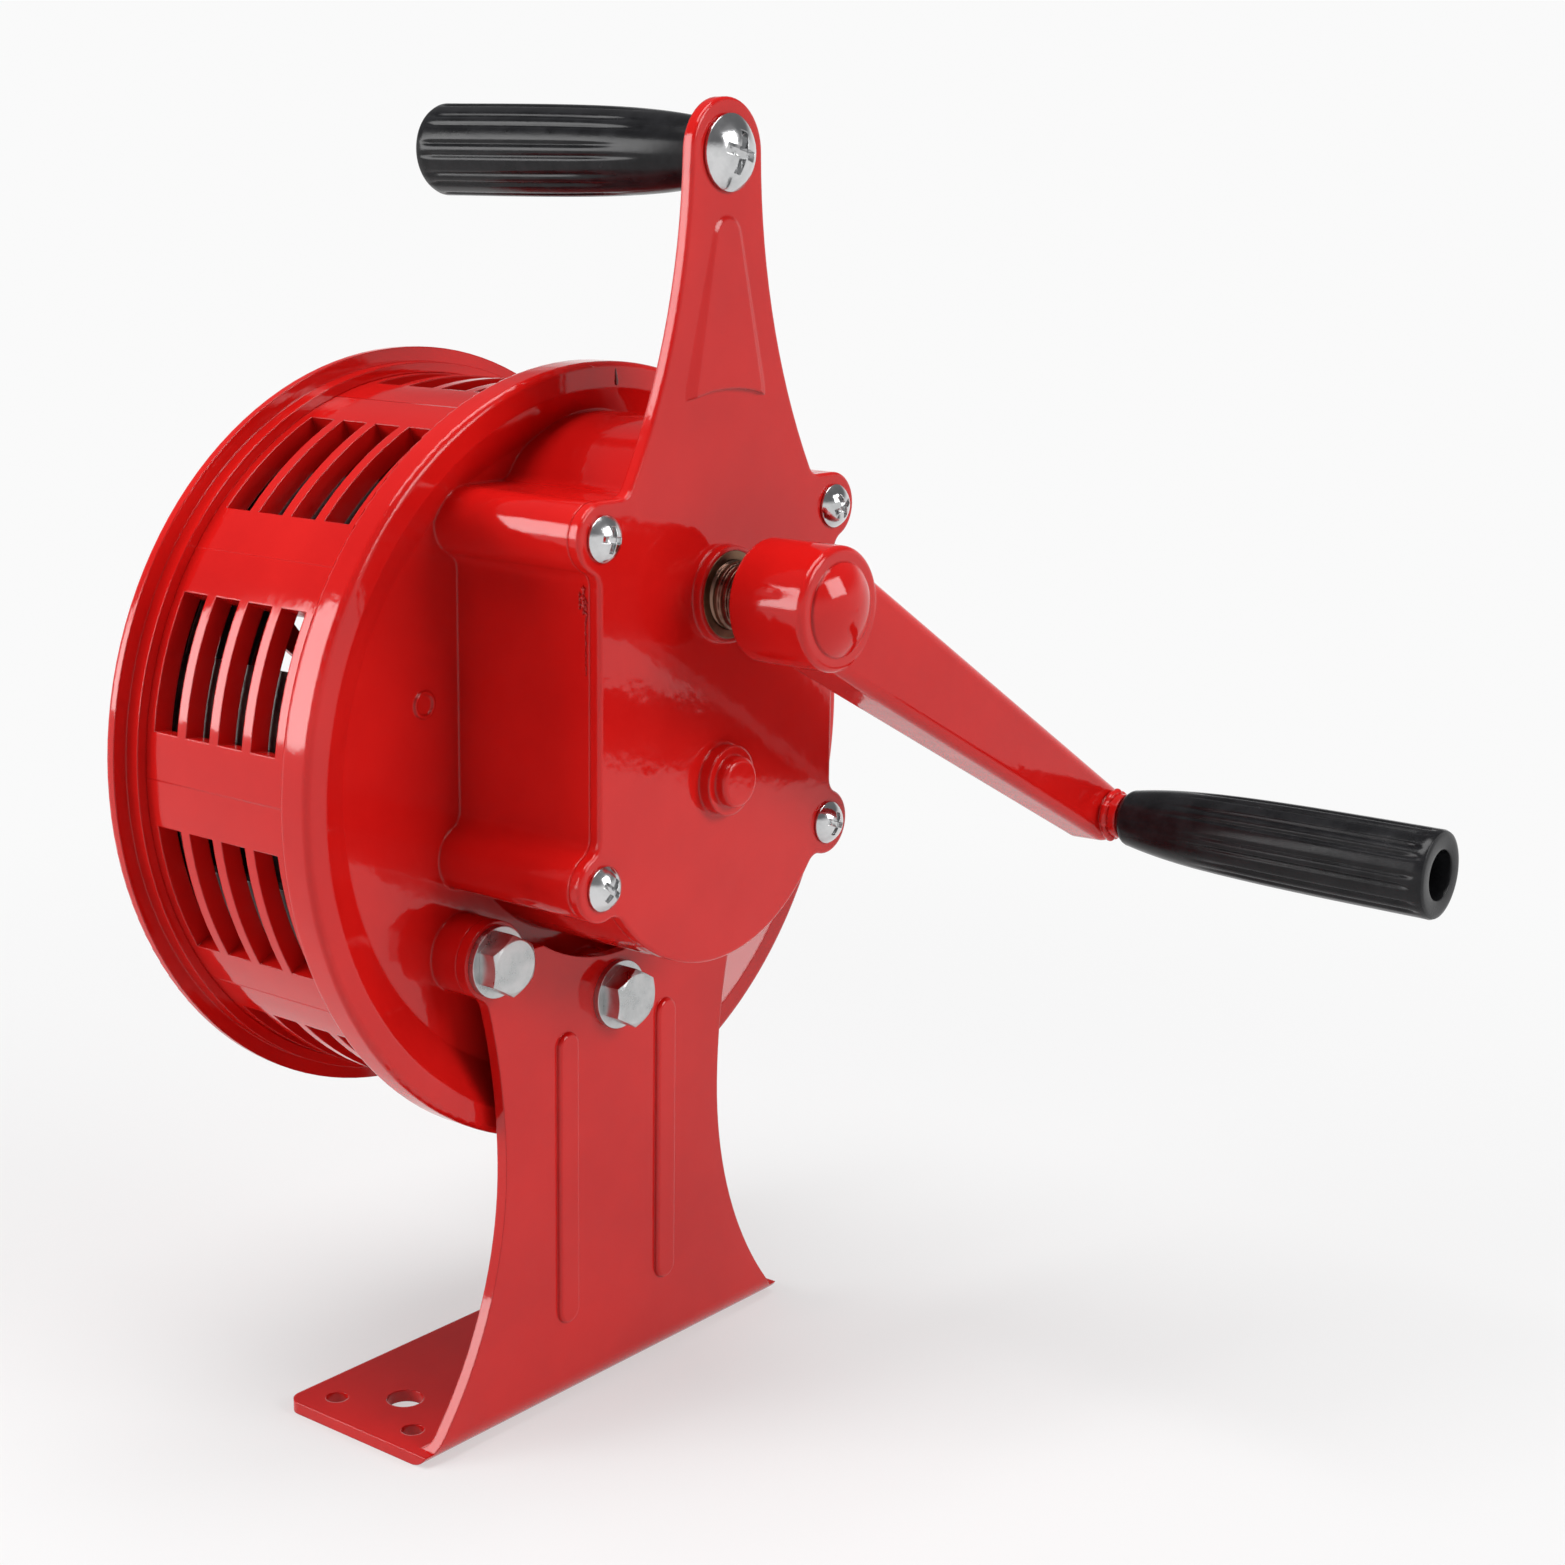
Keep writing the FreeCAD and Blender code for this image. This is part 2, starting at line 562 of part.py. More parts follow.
def gear_case_faces(inset):
    """Gear case seen from behind without its screw lobes: straight sides, round top and bottom."""
    side_x = GEAR_CASE_HALF_WIDTH - inset
    bowl_radius = side_x + GEAR_CASE_BOTTOM_SWELL
    level = HORN_AXIS_HEIGHT - math.sqrt(bowl_radius ** 2 - side_x ** 2)
    bowl = face_of([arc(Vector(-side_x, 0, level), Vector(0, 0, HORN_AXIS_HEIGHT - bowl_radius),
                        Vector(side_x, 0, level)),
                    line(Vector(side_x, 0, level), Vector(-side_x, 0, level))])
    shoulder_x = cover_screw_x - inset
    sides = rectangle_face(-side_x, side_x, level, cover_screw_upper_z - inset)
    shoulders = rectangle_face(-shoulder_x, shoulder_x, HORN_AXIS_HEIGHT, shoulder_z - inset)
    arch = disc_face(GEAR_CASE_ARCH_RADIUS - inset, 0, crank_z + GEAR_CASE_ARCH_RISE)
    return [sides, bowl, shoulders, arch]


def screw_lobe_faces():
    return [disc_face(COVER_LOBE_RADIUS, x, z) for x, z in cover_screw_places()]


def rear_casing():
    rim_in = flange_radius - CASING_RIM_FLAT
    dish = rim_in - CASING_DISH_SLOPE
    e = EDGE_ROUND
    k = e * (1 - math.sqrt(0.5))
    rim = flange_radius
    points = [Vector(0, casing_front_y, 0), Vector(rim - e, casing_front_y, 0),
              Vector(rim, casing_front_y + e, 0), Vector(rim, casing_rim_y - e, 0),
              Vector(rim - e, casing_rim_y, 0), Vector(rim_in, casing_rim_y, 0),
              Vector(dish, casing_back_y, 0), Vector(0, casing_back_y, 0)]
    edges = [line(points[0], points[1]),
             arc(points[1], Vector(rim - k, casing_front_y + k, 0), points[2]),
             line(points[2], points[3]),
             arc(points[3], Vector(rim - k, casing_rim_y - k, 0), points[4]),
             line(points[4], points[5]), line(points[5], points[6]), line(points[6], points[7]),
             line(points[7], points[0])]
    casing = turned(edges)
    spigot_radius = drum_bore_radius - SEAT_GAP
    spigot = tube(spigot_radius, spigot_radius - SPIGOT_WALL,
                  casing_front_y - SPIGOT_LENGTH, casing_front_y + 0.5)
    box = blended(prism(gear_case_faces(0) + screw_lobe_faces(), casing_back_y - 1, cover_front_y),
                  COVER_LOBE_BLEND)
    casing = casing.fuse([box, spigot])
    hollow = prism(gear_case_faces(GEAR_CASE_WALL), casing_back_y, cover_front_y + 1)
    posts = [cylinder(COVER_LOBE_RADIUS, casing_back_y - 1, cover_front_y + 2, x, z)
             for x, z in cover_screw_places()]
    casing = casing.cut(hollow.cut(posts))
    bosses = [cylinder(ROTOR_SHAFT_RADIUS + RUNNING_GAP + BUSH_WALL + BUSH_BOSS_WALL,
                       casing_front_y, bush_boss_y),
              cylinder(CRANK_JOURNAL_RADIUS + RUNNING_GAP + BUSH_WALL + BUSH_BOSS_WALL,
                       casing_front_y, bush_boss_y, 0, crank_z),
              cylinder(IDLER_PIN_RADIUS + BUSH_BOSS_WALL, casing_front_y,
                       idler_gear_front_y - END_PLAY, idler_x, idler_z)]
    bosses += [cylinder(BRACKET_LOBE_RADIUS, casing_front_y, bracket_front_y, x, z)
               for x, z in bracket_bolt_places()]
    mark_x, mark_z = MOULD_MARK_OFFSET_X, HORN_AXIS_HEIGHT + MOULD_MARK_OFFSET_Z
    bosses.append(tube(MOULD_MARK_RADIUS, MOULD_MARK_RADIUS - MOULD_MARK_WALL, casing_back_y - 0.5,
                       casing_back_y + MOULD_MARK_HEIGHT, mark_x, mark_z))
    casing = casing.fuse(bosses)
    bolt_end = bracket_back_y + BRACKET_WASHER_THICKNESS - BRACKET_BOLT_LENGTH
    screw_end = cover_back_y - COVER_SCREW_LENGTH
    holes = [cylinder(ROTOR_SHAFT_RADIUS + RUNNING_GAP + BUSH_WALL + SEAT_GAP,
                      casing_front_y - 1, bush_boss_y + 1),
             cylinder(CRANK_JOURNAL_RADIUS + RUNNING_GAP + BUSH_WALL + SEAT_GAP,
                      casing_front_y + CASING_WALL / 2, bush_boss_y + 1, 0, crank_z),
             cylinder(IDLER_PIN_RADIUS + SEAT_GAP, casing_front_y + CASING_WALL / 2,
                      idler_gear_front_y + 1, idler_x, idler_z)]
    holes += [cylinder(BRACKET_BOLT_RADIUS + SEAT_GAP, bolt_end - SHAFT_END_GAP, bracket_back_y, x, z)
              for x, z in bracket_bolt_places()]
    holes += [cylinder(COVER_SCREW_RADIUS + SEAT_GAP, screw_end - SHAFT_END_GAP, cover_front_y + 1, x, z)
              for x, z in cover_screw_places()]
    return casing.cut(holes)


# Vented drum

def ring_sector(outer, inner, y0, y1, middle_deg, half_deg):
    """Part of a ring about the horn axis, for cutting a slot through a round wall."""
    corners = [Vector(inner, y0, 0), Vector(outer, y0, 0), Vector(outer, y1, 0), Vector(inner, y1, 0)]
    face = Part.Face(Part.makePolygon(corners + corners[:1]))
    sector = face.revolve(Vector(0, 0, 0), Vector(0, -1, 0), 2 * half_deg)
    sector.translate(Vector(0, 0, HORN_AXIS_HEIGHT))
    return about_horn(sector, middle_deg - half_deg)


def drum_panel():
    """One group of slots in its share of the wall, middle on +X."""
    panel = ring_sector(DRUM_RADIUS, drum_bore_radius, drum_front_y, casing_front_y, 0,
                        180 / VENT_GROUPS)
    room = DRUM_LENGTH - VENT_REAR_MARGIN - VENT_FRONT_MARGIN
    slot_length = (room + VENT_BAR_THICKNESS) / VENT_SLOTS - VENT_BAR_THICKNESS
    slots = []
    for index in range(VENT_SLOTS):
        back = casing_front_y - VENT_REAR_MARGIN - index * (slot_length + VENT_BAR_THICKNESS)
        slots.append(ring_sector(DRUM_RADIUS + 1, drum_bore_radius - 1, back - slot_length, back,
                                 0, VENT_HALF_ANGLE_DEG))
    return panel.cut(slots)


def vented_drum():
    """The wall goes round as equal panels, which meet in the middle of the plain stretches."""
    panel = drum_panel()
    turns = [VENT_FIRST_DEG + 360 * group / VENT_GROUPS for group in range(VENT_GROUPS)]
    return Part.makeCompound([about_horn(panel, turn) for turn in turns])


# Horn and grille

def front_horn():
    """Flange disc and rolled mouth in one even wall, hollow behind the roll."""
    edge = flange_radius
    e = EDGE_ROUND
    k = e * (1 - math.sqrt(0.5))
    roll = LIP_ROLL_RADIUS
    inside = roll - HORN_WALL
    mid = lip_centre_radius
    half = math.sqrt(0.5)
    neck = LIP_OUTER_RADIUS
    f = LIP_FOOT_ROUND
    j = f * (1 - half)
    p = [Vector(edge, drum_front_y, 0), Vector(edge, horn_face_y + e, 0),
         Vector(edge - e, horn_face_y, 0), Vector(neck + f, horn_face_y, 0),
         Vector(neck, horn_face_y - f, 0), Vector(neck, lip_centre_y, 0),
         Vector(mid - roll, lip_centre_y, 0), Vector(mid - roll, drum_front_y, 0),
         Vector(mid - inside, drum_front_y, 0), Vector(mid - inside, lip_centre_y, 0),
         Vector(mid + inside, lip_centre_y, 0), Vector(mid + inside, drum_front_y, 0)]
    edges = [line(p[0], p[1]),
             arc(p[1], Vector(edge - k, horn_face_y + k, 0), p[2]),
             line(p[2], p[3]),
             arc(p[3], Vector(neck + j, horn_face_y - j, 0), p[4]),
             line(p[4], p[5]),
             arc(p[5], Vector(mid, lip_centre_y - roll, 0), p[6]),
             line(p[6], p[7]), line(p[7], p[8]), line(p[8], p[9]),
             arc(p[9], Vector(mid, lip_centre_y - inside, 0), p[10]),
             line(p[10], p[11]), line(p[11], p[0])]
    horn = turned(edges)
    skirt_in = DRUM_RADIUS + SEAT_GAP
    skirt = tube(skirt_in + HORN_SKIRT_WALL, skirt_in, drum_front_y - 0.5, drum_front_y + HORN_SKIRT_LENGTH)
    return horn.fuse(skirt).removeSplitter()


def horn_grille():
    """Pressed dome with a short skirt in the throat and tapered slots all round."""
    t = GRILLE_THICKNESS
    rim_y = grille_rim_y
    rim = grille_radius
    sphere = (rim ** 2 + GRILLE_CROWN ** 2) / (2 * GRILLE_CROWN)
    centre_y = rim_y - GRILLE_CROWN + sphere

    def outer(radius):
        return Vector(radius, centre_y - math.sqrt(sphere ** 2 - radius ** 2), 0)

    def inner(radius):
        return Vector(radius, centre_y - math.sqrt((sphere - t) ** 2 - radius ** 2), 0)

    disc = GRILLE_DISC_RADIUS
    sink = Vector(0, GRILLE_DISC_RECESS, 0)
    disc_edge = disc - GRILLE_DISC_RECESS
    flat_in = rim - t
    edges = [arc(outer(rim), outer((rim + disc) / 2), outer(disc)),
             line(outer(disc), outer(disc_edge) + sink),
             arc(outer(disc_edge) + sink, outer(disc_edge / 2) + sink, outer(0) + sink),
             line(outer(0) + sink, inner(0) + sink),
             arc(inner(0) + sink, inner(disc / 2) + sink, inner(disc) + sink),
             line(inner(disc) + sink, inner(disc + GRILLE_DISC_RECESS)),
             arc(inner(disc + GRILLE_DISC_RECESS), inner((flat_in + disc) / 2), inner(flat_in)),
             line(inner(flat_in), Vector(flat_in, rim_y + GRILLE_SKIRT, 0)),
             line(Vector(flat_in, rim_y + GRILLE_SKIRT, 0), Vector(rim, rim_y + GRILLE_SKIRT, 0)),
             line(Vector(rim, rim_y + GRILLE_SKIRT, 0), outer(rim))]
    grille = turned(edges)
    slot_start = disc + SLOT_INNER_MARGIN + SLOT_INNER_END_RADIUS
    slot_stop = rim - SLOT_OUTER_MARGIN - SLOT_OUTER_END_RADIUS
    slot_face = two_circle_face(0, HORN_AXIS_HEIGHT + slot_start, SLOT_INNER_END_RADIUS,
                                0, HORN_AXIS_HEIGHT + slot_stop, SLOT_OUTER_END_RADIUS)
    slot = prism([slot_face], rim_y - 2 * GRILLE_CROWN, rim_y + GRILLE_SKIRT)
    return grille.cut([about_horn(slot, 360 * k / GRILLE_SLOTS) for k in range(GRILLE_SLOTS)])


# Gear cover with the carrying arm

def arm_face():
    """Arm seen from behind: round top, flanks that flare in one curve to the shoulders."""
    top_x = ARM_TOP_RADIUS
    top = Vector(top_x, 0, carry_grip_z)
    middle = Vector(ARM_MIDDLE_HALF_WIDTH, 0, carry_grip_z - ARM_MIDDLE_DROP)
    foot = Vector(ARM_FOOT_HALF_WIDTH, 0, shoulder_z)
    low = Vector(ARM_FOOT_HALF_WIDTH, 0, cover_screw_upper_z)

    def mirror(point):
        return Vector(-point.x, 0, point.z)

    crown = Vector(0, 0, carry_grip_z + ARM_TOP_RADIUS)
    return face_of([arc(mirror(top), crown, top), arc(top, middle, foot), line(foot, low),
                    line(low, mirror(low)), line(mirror(low), mirror(foot)),
                    arc(mirror(foot), mirror(middle), mirror(top))])


def arm_panel(plane_y):
    """Raised panel of the arm: bevelled flanks, arched foot, and a face that slopes in towards its top."""
    top_z = carry_grip_z - ARM_PANEL_TOP_DROP
    foot_z = top_z - ARM_PANEL_LENGTH
    full = ARM_PANEL_FOOT_RISE
    layers = []
    for shrink, y in ((0, plane_y), (ARM_PANEL_BEVEL, plane_y + full)):
        face = two_circle_face(0, foot_z, ARM_PANEL_FOOT_RADIUS - shrink, 0, top_z,
                               ARM_PANEL_TOP_RADIUS - shrink)
        face.translate(Vector(0, y, 0))
        layers.append(face)
    bevelled = Part.makeLoft([face.OuterWire for face in layers], True, True)
    root = layers[0].extrude(Vector(0, -1, 0))
    panel = bevelled.fuse(root).removeSplitter()
    reach = 2 * ARM_PANEL_FOOT_RADIUS
    low = foot_z - ARM_PANEL_FOOT_RADIUS
    high = top_z + ARM_PANEL_TOP_RADIUS
    slope = [Vector(-reach, plane_y - 2, low), Vector(-reach, plane_y + full, low),
             Vector(-reach, plane_y + full, foot_z), Vector(-reach, plane_y + ARM_PANEL_TOP_RISE, high),
             Vector(-reach, plane_y - 2, high)]
    wedge = face_of(closed_lines(slope)).extrude(Vector(2 * reach, 0, 0))
    arch = cylinder(ARM_PANEL_FOOT_ARC_RADIUS, plane_y - 2, plane_y + full + 1, 0, crank_z)
    return panel.common(wedge).cut(arch)


def gear_cover():
    cover = blended(prism([arm_face()] + gear_case_faces(0) + screw_lobe_faces(),
                          cover_front_y, cover_back_y), COVER_LOBE_BLEND)
    border = [e for e in cover.Edges if e.BoundBox.YMin > cover_back_y - 0.01]
    cover = cover.makeFillet(COVER_THICKNESS / 4, border)
    base_y = cover_back_y + ROTOR_BOSS_BASE_HEIGHT
    cap_y = base_y + ROTOR_BOSS_CAP_HEIGHT
    cap = cylinder(ROTOR_BOSS_CAP_RADIUS, base_y - 1, cap_y)
    cap_edge = [e for e in cap.Edges if e.BoundBox.YMin > cap_y - 0.01]
    cap = cap.makeFillet(ROTOR_BOSS_ROUND, cap_edge)
    additions = [arm_panel(cover_back_y), cap, cylinder(ROTOR_BOSS_BASE_RADIUS, cover_front_y, base_y),
                 cylinder(CRANK_BOSS_RADIUS, cover_front_y - CRANK_BOSS_INSIDE_HEIGHT, crank_boss_y,
                          0, crank_z)]
    cover = cover.fuse(additions)
    holes = [arm_panel(cover_front_y),
             cylinder(CRANK_SHAFT_RADIUS + RUNNING_GAP + BUSH_WALL + SEAT_GAP,
                      cover_front_y - CRANK_BOSS_INSIDE_HEIGHT - 1, crank_boss_y + 1,
                      0, crank_z),
             cylinder(ROTOR_SHAFT_RADIUS + RUNNING_GAP + BUSH_WALL / 2 + SEAT_GAP,
                      cover_front_y - 1, cover_front_y + ROTOR_BUSH_POCKET - COVER_THICKNESS),
             cylinder(CARRY_SCREW_RADIUS + BOLT_HOLE_CLEARANCE, cover_front_y - 1, cover_back_y + 1,
                      0, carry_grip_z)]
    holes += [cylinder(COVER_SCREW_RADIUS + BOLT_HOLE_CLEARANCE, cover_front_y - 1, cover_back_y + 1, x, z)
              for x, z in cover_screw_places()]
    return cover.cut(holes)


def domed_head(radius, height, y0, x, z):
    """Round screw head: a spherical cap on a low straight edge."""
    edge = height * 0.2
    crown = height - edge
    sphere = (radius ** 2 + crown ** 2) / (2 * crown)
    half = radius / 2
    middle_y = y0 + height - sphere + math.sqrt(sphere ** 2 - half ** 2)
    edges = [line(Vector(0, y0, 0), Vector(radius, y0, 0)),
             line(Vector(radius, y0, 0), Vector(radius, y0 + edge, 0)),
             arc(Vector(radius, y0 + edge, 0), Vector(half, middle_y, 0), Vector(0, y0 + height, 0)),
             line(Vector(0, y0 + height, 0), Vector(0, y0, 0))]
    return turned(edges, z, x)


def screw(shank_radius, reach, head_radius, head_height, y0, x, z):
    head = domed_head(head_radius, head_height, y0, x, z)
    return head.fuse(cylinder(shank_radius, y0 - reach, y0 + head_height / 2, x, z)).removeSplitter()


# Grips

def grip(y_neck, direction, x, z):
    """Turned grip body along Y from its narrow neck, with shallow flutes and a bored end."""
    length = GRIP_LENGTH
    c = GRIP_END_CHAMFER
    r = GRIP_NECK_ROUND
    edges = []
    neck = Vector(GRIP_NECK_RADIUS - r, 0, 0)
    round_mid = Vector(GRIP_NECK_RADIUS - r * (1 - math.sqrt(0.5)), r * (1 - math.sqrt(0.5)), 0)
    collar = Vector(GRIP_NECK_RADIUS, r, 0)
    shoulder = Vector(GRIP_SHOULDER_RADIUS, GRIP_SHOULDER_PLACE, 0)
    full = Vector(GRIP_SWELL_RADIUS, GRIP_SWELL_PLACE, 0)
    rim = Vector(GRIP_END_RADIUS, length - c, 0)
    end = Vector(GRIP_END_RADIUS - c, length, 0)
    swell = Part.BSplineCurve()
    swell.interpolate([collar, shoulder, full, rim])
    edges += [arc(neck, round_mid, collar), swell.toShape(), line(rim, end),
              line(end, Vector(GRIP_BORE_RADIUS, length, 0)),
              line(Vector(GRIP_BORE_RADIUS, length, 0), Vector(GRIP_BORE_RADIUS, GRIP_CORE_LENGTH, 0)),
              line(Vector(GRIP_BORE_RADIUS, GRIP_CORE_LENGTH, 0),
                   Vector(GRIP_CORE_HOLE_RADIUS, GRIP_CORE_LENGTH, 0)),
              line(Vector(GRIP_CORE_HOLE_RADIUS, GRIP_CORE_LENGTH, 0), Vector(GRIP_CORE_HOLE_RADIUS, 0, 0)),
              line(Vector(GRIP_CORE_HOLE_RADIUS, 0, 0), neck)]
    body = face_of(edges).revolve(Vector(0, 0, 0), ALONG_Y, 360)
    centre = GRIP_END_RADIUS - GRIP_FLUTE_DEPTH + GRIP_FLUTE_RADIUS
    flute_length = length - GRIP_FLUTE_START - GRIP_FLUTE_END_MARGIN
    flute = Part.makeCylinder(GRIP_FLUTE_RADIUS, flute_length, Vector(centre, GRIP_FLUTE_START, 0), ALONG_Y)
    flutes = []
    for k in range(GRIP_FLUTES):
        copy = flute.copy()
        copy.rotate(Vector(0, 0, 0), ALONG_Y, 360 * k / GRIP_FLUTES)
        flutes.append(copy)
    body = body.cut(flutes)
    if direction < 0:
        body.rotate(Vector(0, 0, 0), Vector(1, 0, 0), 180)
    body.translate(Vector(x, y_neck, z))
    return body


# Gears

def gear_outline(teeth, centre_x, centre_z, tooth_deg):
    """Involute spur gear outline; one tooth is centred on tooth_deg, from +X towards +Z."""
    pitch = GEAR_MODULE * teeth / 2
    pressure = math.radians(PRESSURE_ANGLE_DEG)
    base = pitch * math.cos(pressure)
    tip = pitch + GEAR_MODULE
    root = pitch - 1.25 * GEAR_MODULE
    half_at_pitch = math.pi / (2 * teeth) - GEAR_BACKLASH / (2 * pitch)
    roll_at_pitch = math.tan(pressure) - pressure

    def half_angle(radius):
        if radius <= base:
            return half_at_pitch + roll_at_pitch
        turn = math.acos(base / radius)
        return half_at_pitch + roll_at_pitch - (math.tan(turn) - turn)

    start = max(base, root)
    radii = [root] + [start + (tip - start) * k / 3 for k in range(4)]
    if root >= base:
        radii = radii[1:]
    points = []
    for tooth in range(teeth):
        middle = math.radians(tooth_deg) + 2 * math.pi * tooth / teeth
        flank = [(radius, middle - half_angle(radius)) for radius in radii]
        flank += [(radius, middle + half_angle(radius)) for radius in reversed(radii)]
        points += [Vector(centre_x + radius * math.cos(angle), 0, centre_z + radius * math.sin(angle))
                   for radius, angle in flank]
    return Part.Face(Part.makePolygon(points + points[:1]))


def heading_deg(x0, z0, x1, z1):
    return math.degrees(math.atan2(z1 - z0, x1 - x0))


def crank_gear():
    """Large gear with a hub, a thinner web and a rim; a tooth points at the idler."""
    to_idler = heading_deg(0, crank_z, idler_x, idler_z)
    blank = prism([gear_outline(CRANK_GEAR_TEETH, 0, crank_z, to_idler)],
                  crank_gear_front_y, crank_gear_back_y)
    rim = GEAR_MODULE * CRANK_GEAR_TEETH / 2 - 1.25 * GEAR_MODULE - CRANK_GEAR_RIM
    recess = [tube(rim, CRANK_GEAR_HUB_RADIUS, crank_gear_front_y - 1,
                   crank_gear_front_y + CRANK_GEAR_WEB_RECESS, 0, crank_z),
              tube(rim, CRANK_GEAR_HUB_RADIUS, crank_gear_back_y - CRANK_GEAR_WEB_RECESS,
                   crank_gear_back_y + 1, 0, crank_z),
              cylinder(CRANK_SHAFT_RADIUS + SEAT_GAP, crank_gear_front_y - 1, crank_gear_back_y + 1,
                       0, crank_z)]
    return blank.cut(recess)


def idler_pinion():
    """Small gear of the idler, with a tooth gap where the crank gear's tooth comes in."""
    to_crank = heading_deg(idler_x, idler_z, 0, crank_z)
    phase = to_crank + 180 / IDLER_PINION_TEETH
    body = prism([gear_outline(IDLER_PINION_TEETH, idler_x, idler_z, phase)],
                 idler_gear_back_y, idler_pinion_back_y)
    return body.cut(cylinder(IDLER_PIN_RADIUS + RUNNING_GAP, idler_gear_back_y - 1,
                             idler_pinion_back_y + 1, idler_x, idler_z))


def idler_gear():
    """Large gear of the idler, fixed to the pinion; a tooth points at the rotor pinion."""
    to_rotor = heading_deg(idler_x, idler_z, 0, HORN_AXIS_HEIGHT)
    body = prism([gear_outline(IDLER_GEAR_TEETH, idler_x, idler_z, to_rotor)],
                 idler_gear_front_y, idler_gear_back_y)
    return body.cut(cylinder(IDLER_PIN_RADIUS + RUNNING_GAP, idler_gear_front_y - 1,
                             idler_gear_back_y + 1, idler_x, idler_z))


def rotor_pinion():
    to_idler = heading_deg(0, HORN_AXIS_HEIGHT, idler_x, idler_z)
    phase = to_idler + 180 / ROTOR_PINION_TEETH
    body = prism([gear_outline(ROTOR_PINION_TEETH, 0, HORN_AXIS_HEIGHT, phase)],
                 rotor_pinion_front_y, rotor_pinion_back_y)
    return body.cut(cylinder(ROTOR_SHAFT_RADIUS + SEAT_GAP, rotor_pinion_front_y - 1,
                             rotor_pinion_back_y + 1))


def idler_pin():
    seat = casing_front_y + CASING_WALL / 2
    head_y = idler_pinion_back_y + END_PLAY
    pin = cylinder(IDLER_PIN_RADIUS, seat, head_y + 0.1, idler_x, idler_z)
    head = cylinder(IDLER_PIN_HEAD_RADIUS, head_y, head_y + IDLER_PIN_HEAD_HEIGHT, idler_x, idler_z)
    return pin.fuse(head).removeSplitter()


# Bushes

def bush(shaft_radius, wall, y0, y1, z):
    return tube(shaft_radius + RUNNING_GAP + wall, shaft_radius + RUNNING_GAP, y0, y1, 0, z)


# Crank

def crank_shaft():
    journal_end = casing_front_y + CASING_WALL / 2 + SHAFT_END_GAP
    step = bush_boss_y + END_PLAY
    journal = cylinder(CRANK_JOURNAL_RADIUS, journal_end, step + 1, 0, crank_z)
    body = cylinder(CRANK_SHAFT_RADIUS, step, hub_front_y + CRANK_SHAFT_IN_HUB, 0, crank_z)
    return journal.fuse(body).removeSplitter()


def crank_arm():
    """Domed hub with a slanted, tapering arm and the grip's collar, all one casting."""
    cx, cz = 0.0, crank_z
    hub = cylinder(CRANK_HUB_RADIUS, hub_front_y, hub_back_y, cx, cz)
    hub_edges = [e for e in hub.Edges if e.BoundBox.YLength < 0.01]
    hub = hub.makeFillet(EDGE_ROUND, hub_edges)
    dome = domed_head(CRANK_DOME_RADIUS, CRANK_DOME_HEIGHT, hub_back_y - 0.5, cx, cz)
    outer_hub = hub_back_y - EDGE_ROUND
    slant = math.atan2(arm_tip_y - outer_hub, CRANK_RADIUS)
    length = CRANK_RADIUS / math.cos(slant)
    deep = CRANK_ARM_HUB_DEPTH + CRANK_HUB_RADIUS
    planform = two_circle_face(0, 0, CRANK_ARM_HUB_RADIUS, length, 0, CRANK_ARM_TIP_RADIUS)
    arm = prism([planform], -deep, 0)
    outer_edges = [e for e in arm.Edges if e.BoundBox.YMin > -0.01]
    arm = arm.makeFillet(CRANK_ARM_EDGE_ROUND, outer_edges)
    taper = (CRANK_ARM_HUB_DEPTH - CRANK_ARM_TIP_DEPTH) / length
    near = -2 * CRANK_ARM_HUB_RADIUS
    end = length + 2 * CRANK_ARM_TIP_RADIUS
    bevel = length + CRANK_ARM_TIP_RADIUS - CRANK_ARM_TIP_CHAMFER
    inner = -CRANK_ARM_HUB_DEPTH
    waste = [Vector(near, -deep - 1, 0), Vector(end, -deep - 1, 0),
             Vector(end, inner + bevel * taper + end - bevel, 0), Vector(bevel, inner + bevel * taper, 0),
             Vector(near, inner + near * taper, 0)]
    under = face_of(closed_lines(waste)).extrude(Vector(0, 0, 4 * CRANK_ARM_HUB_RADIUS))
    under.translate(Vector(0, 0, -2 * CRANK_ARM_HUB_RADIUS))
    arm = arm.cut(under)
    arm.rotate(Vector(0, 0, 0), Vector(0, 0, 1), math.degrees(slant))
    arm.rotate(Vector(0, 0, 0), ALONG_Y, -CRANK_REST_DEG)
    arm.translate(Vector(cx, outer_hub, cz))
    collar = cylinder(CRANK_COLLAR_RADIUS, arm_tip_y - 1, collar_y, crank_tip_x, crank_tip_z)
    whole = hub.fuse([dome, arm, collar]).removeSplitter()
    socket = cylinder(CRANK_SHAFT_RADIUS + SEAT_GAP, hub_front_y - 1,
                      hub_front_y + CRANK_SHAFT_IN_HUB + SHAFT_END_GAP, cx, cz)
    pin_hole = cylinder(GRIP_PIN_RADIUS + SEAT_GAP, arm_tip_y - GRIP_PIN_SEAT_DEPTH, collar_y + 1,
                        crank_tip_x, crank_tip_z)
    return whole.cut([socket, pin_hole])


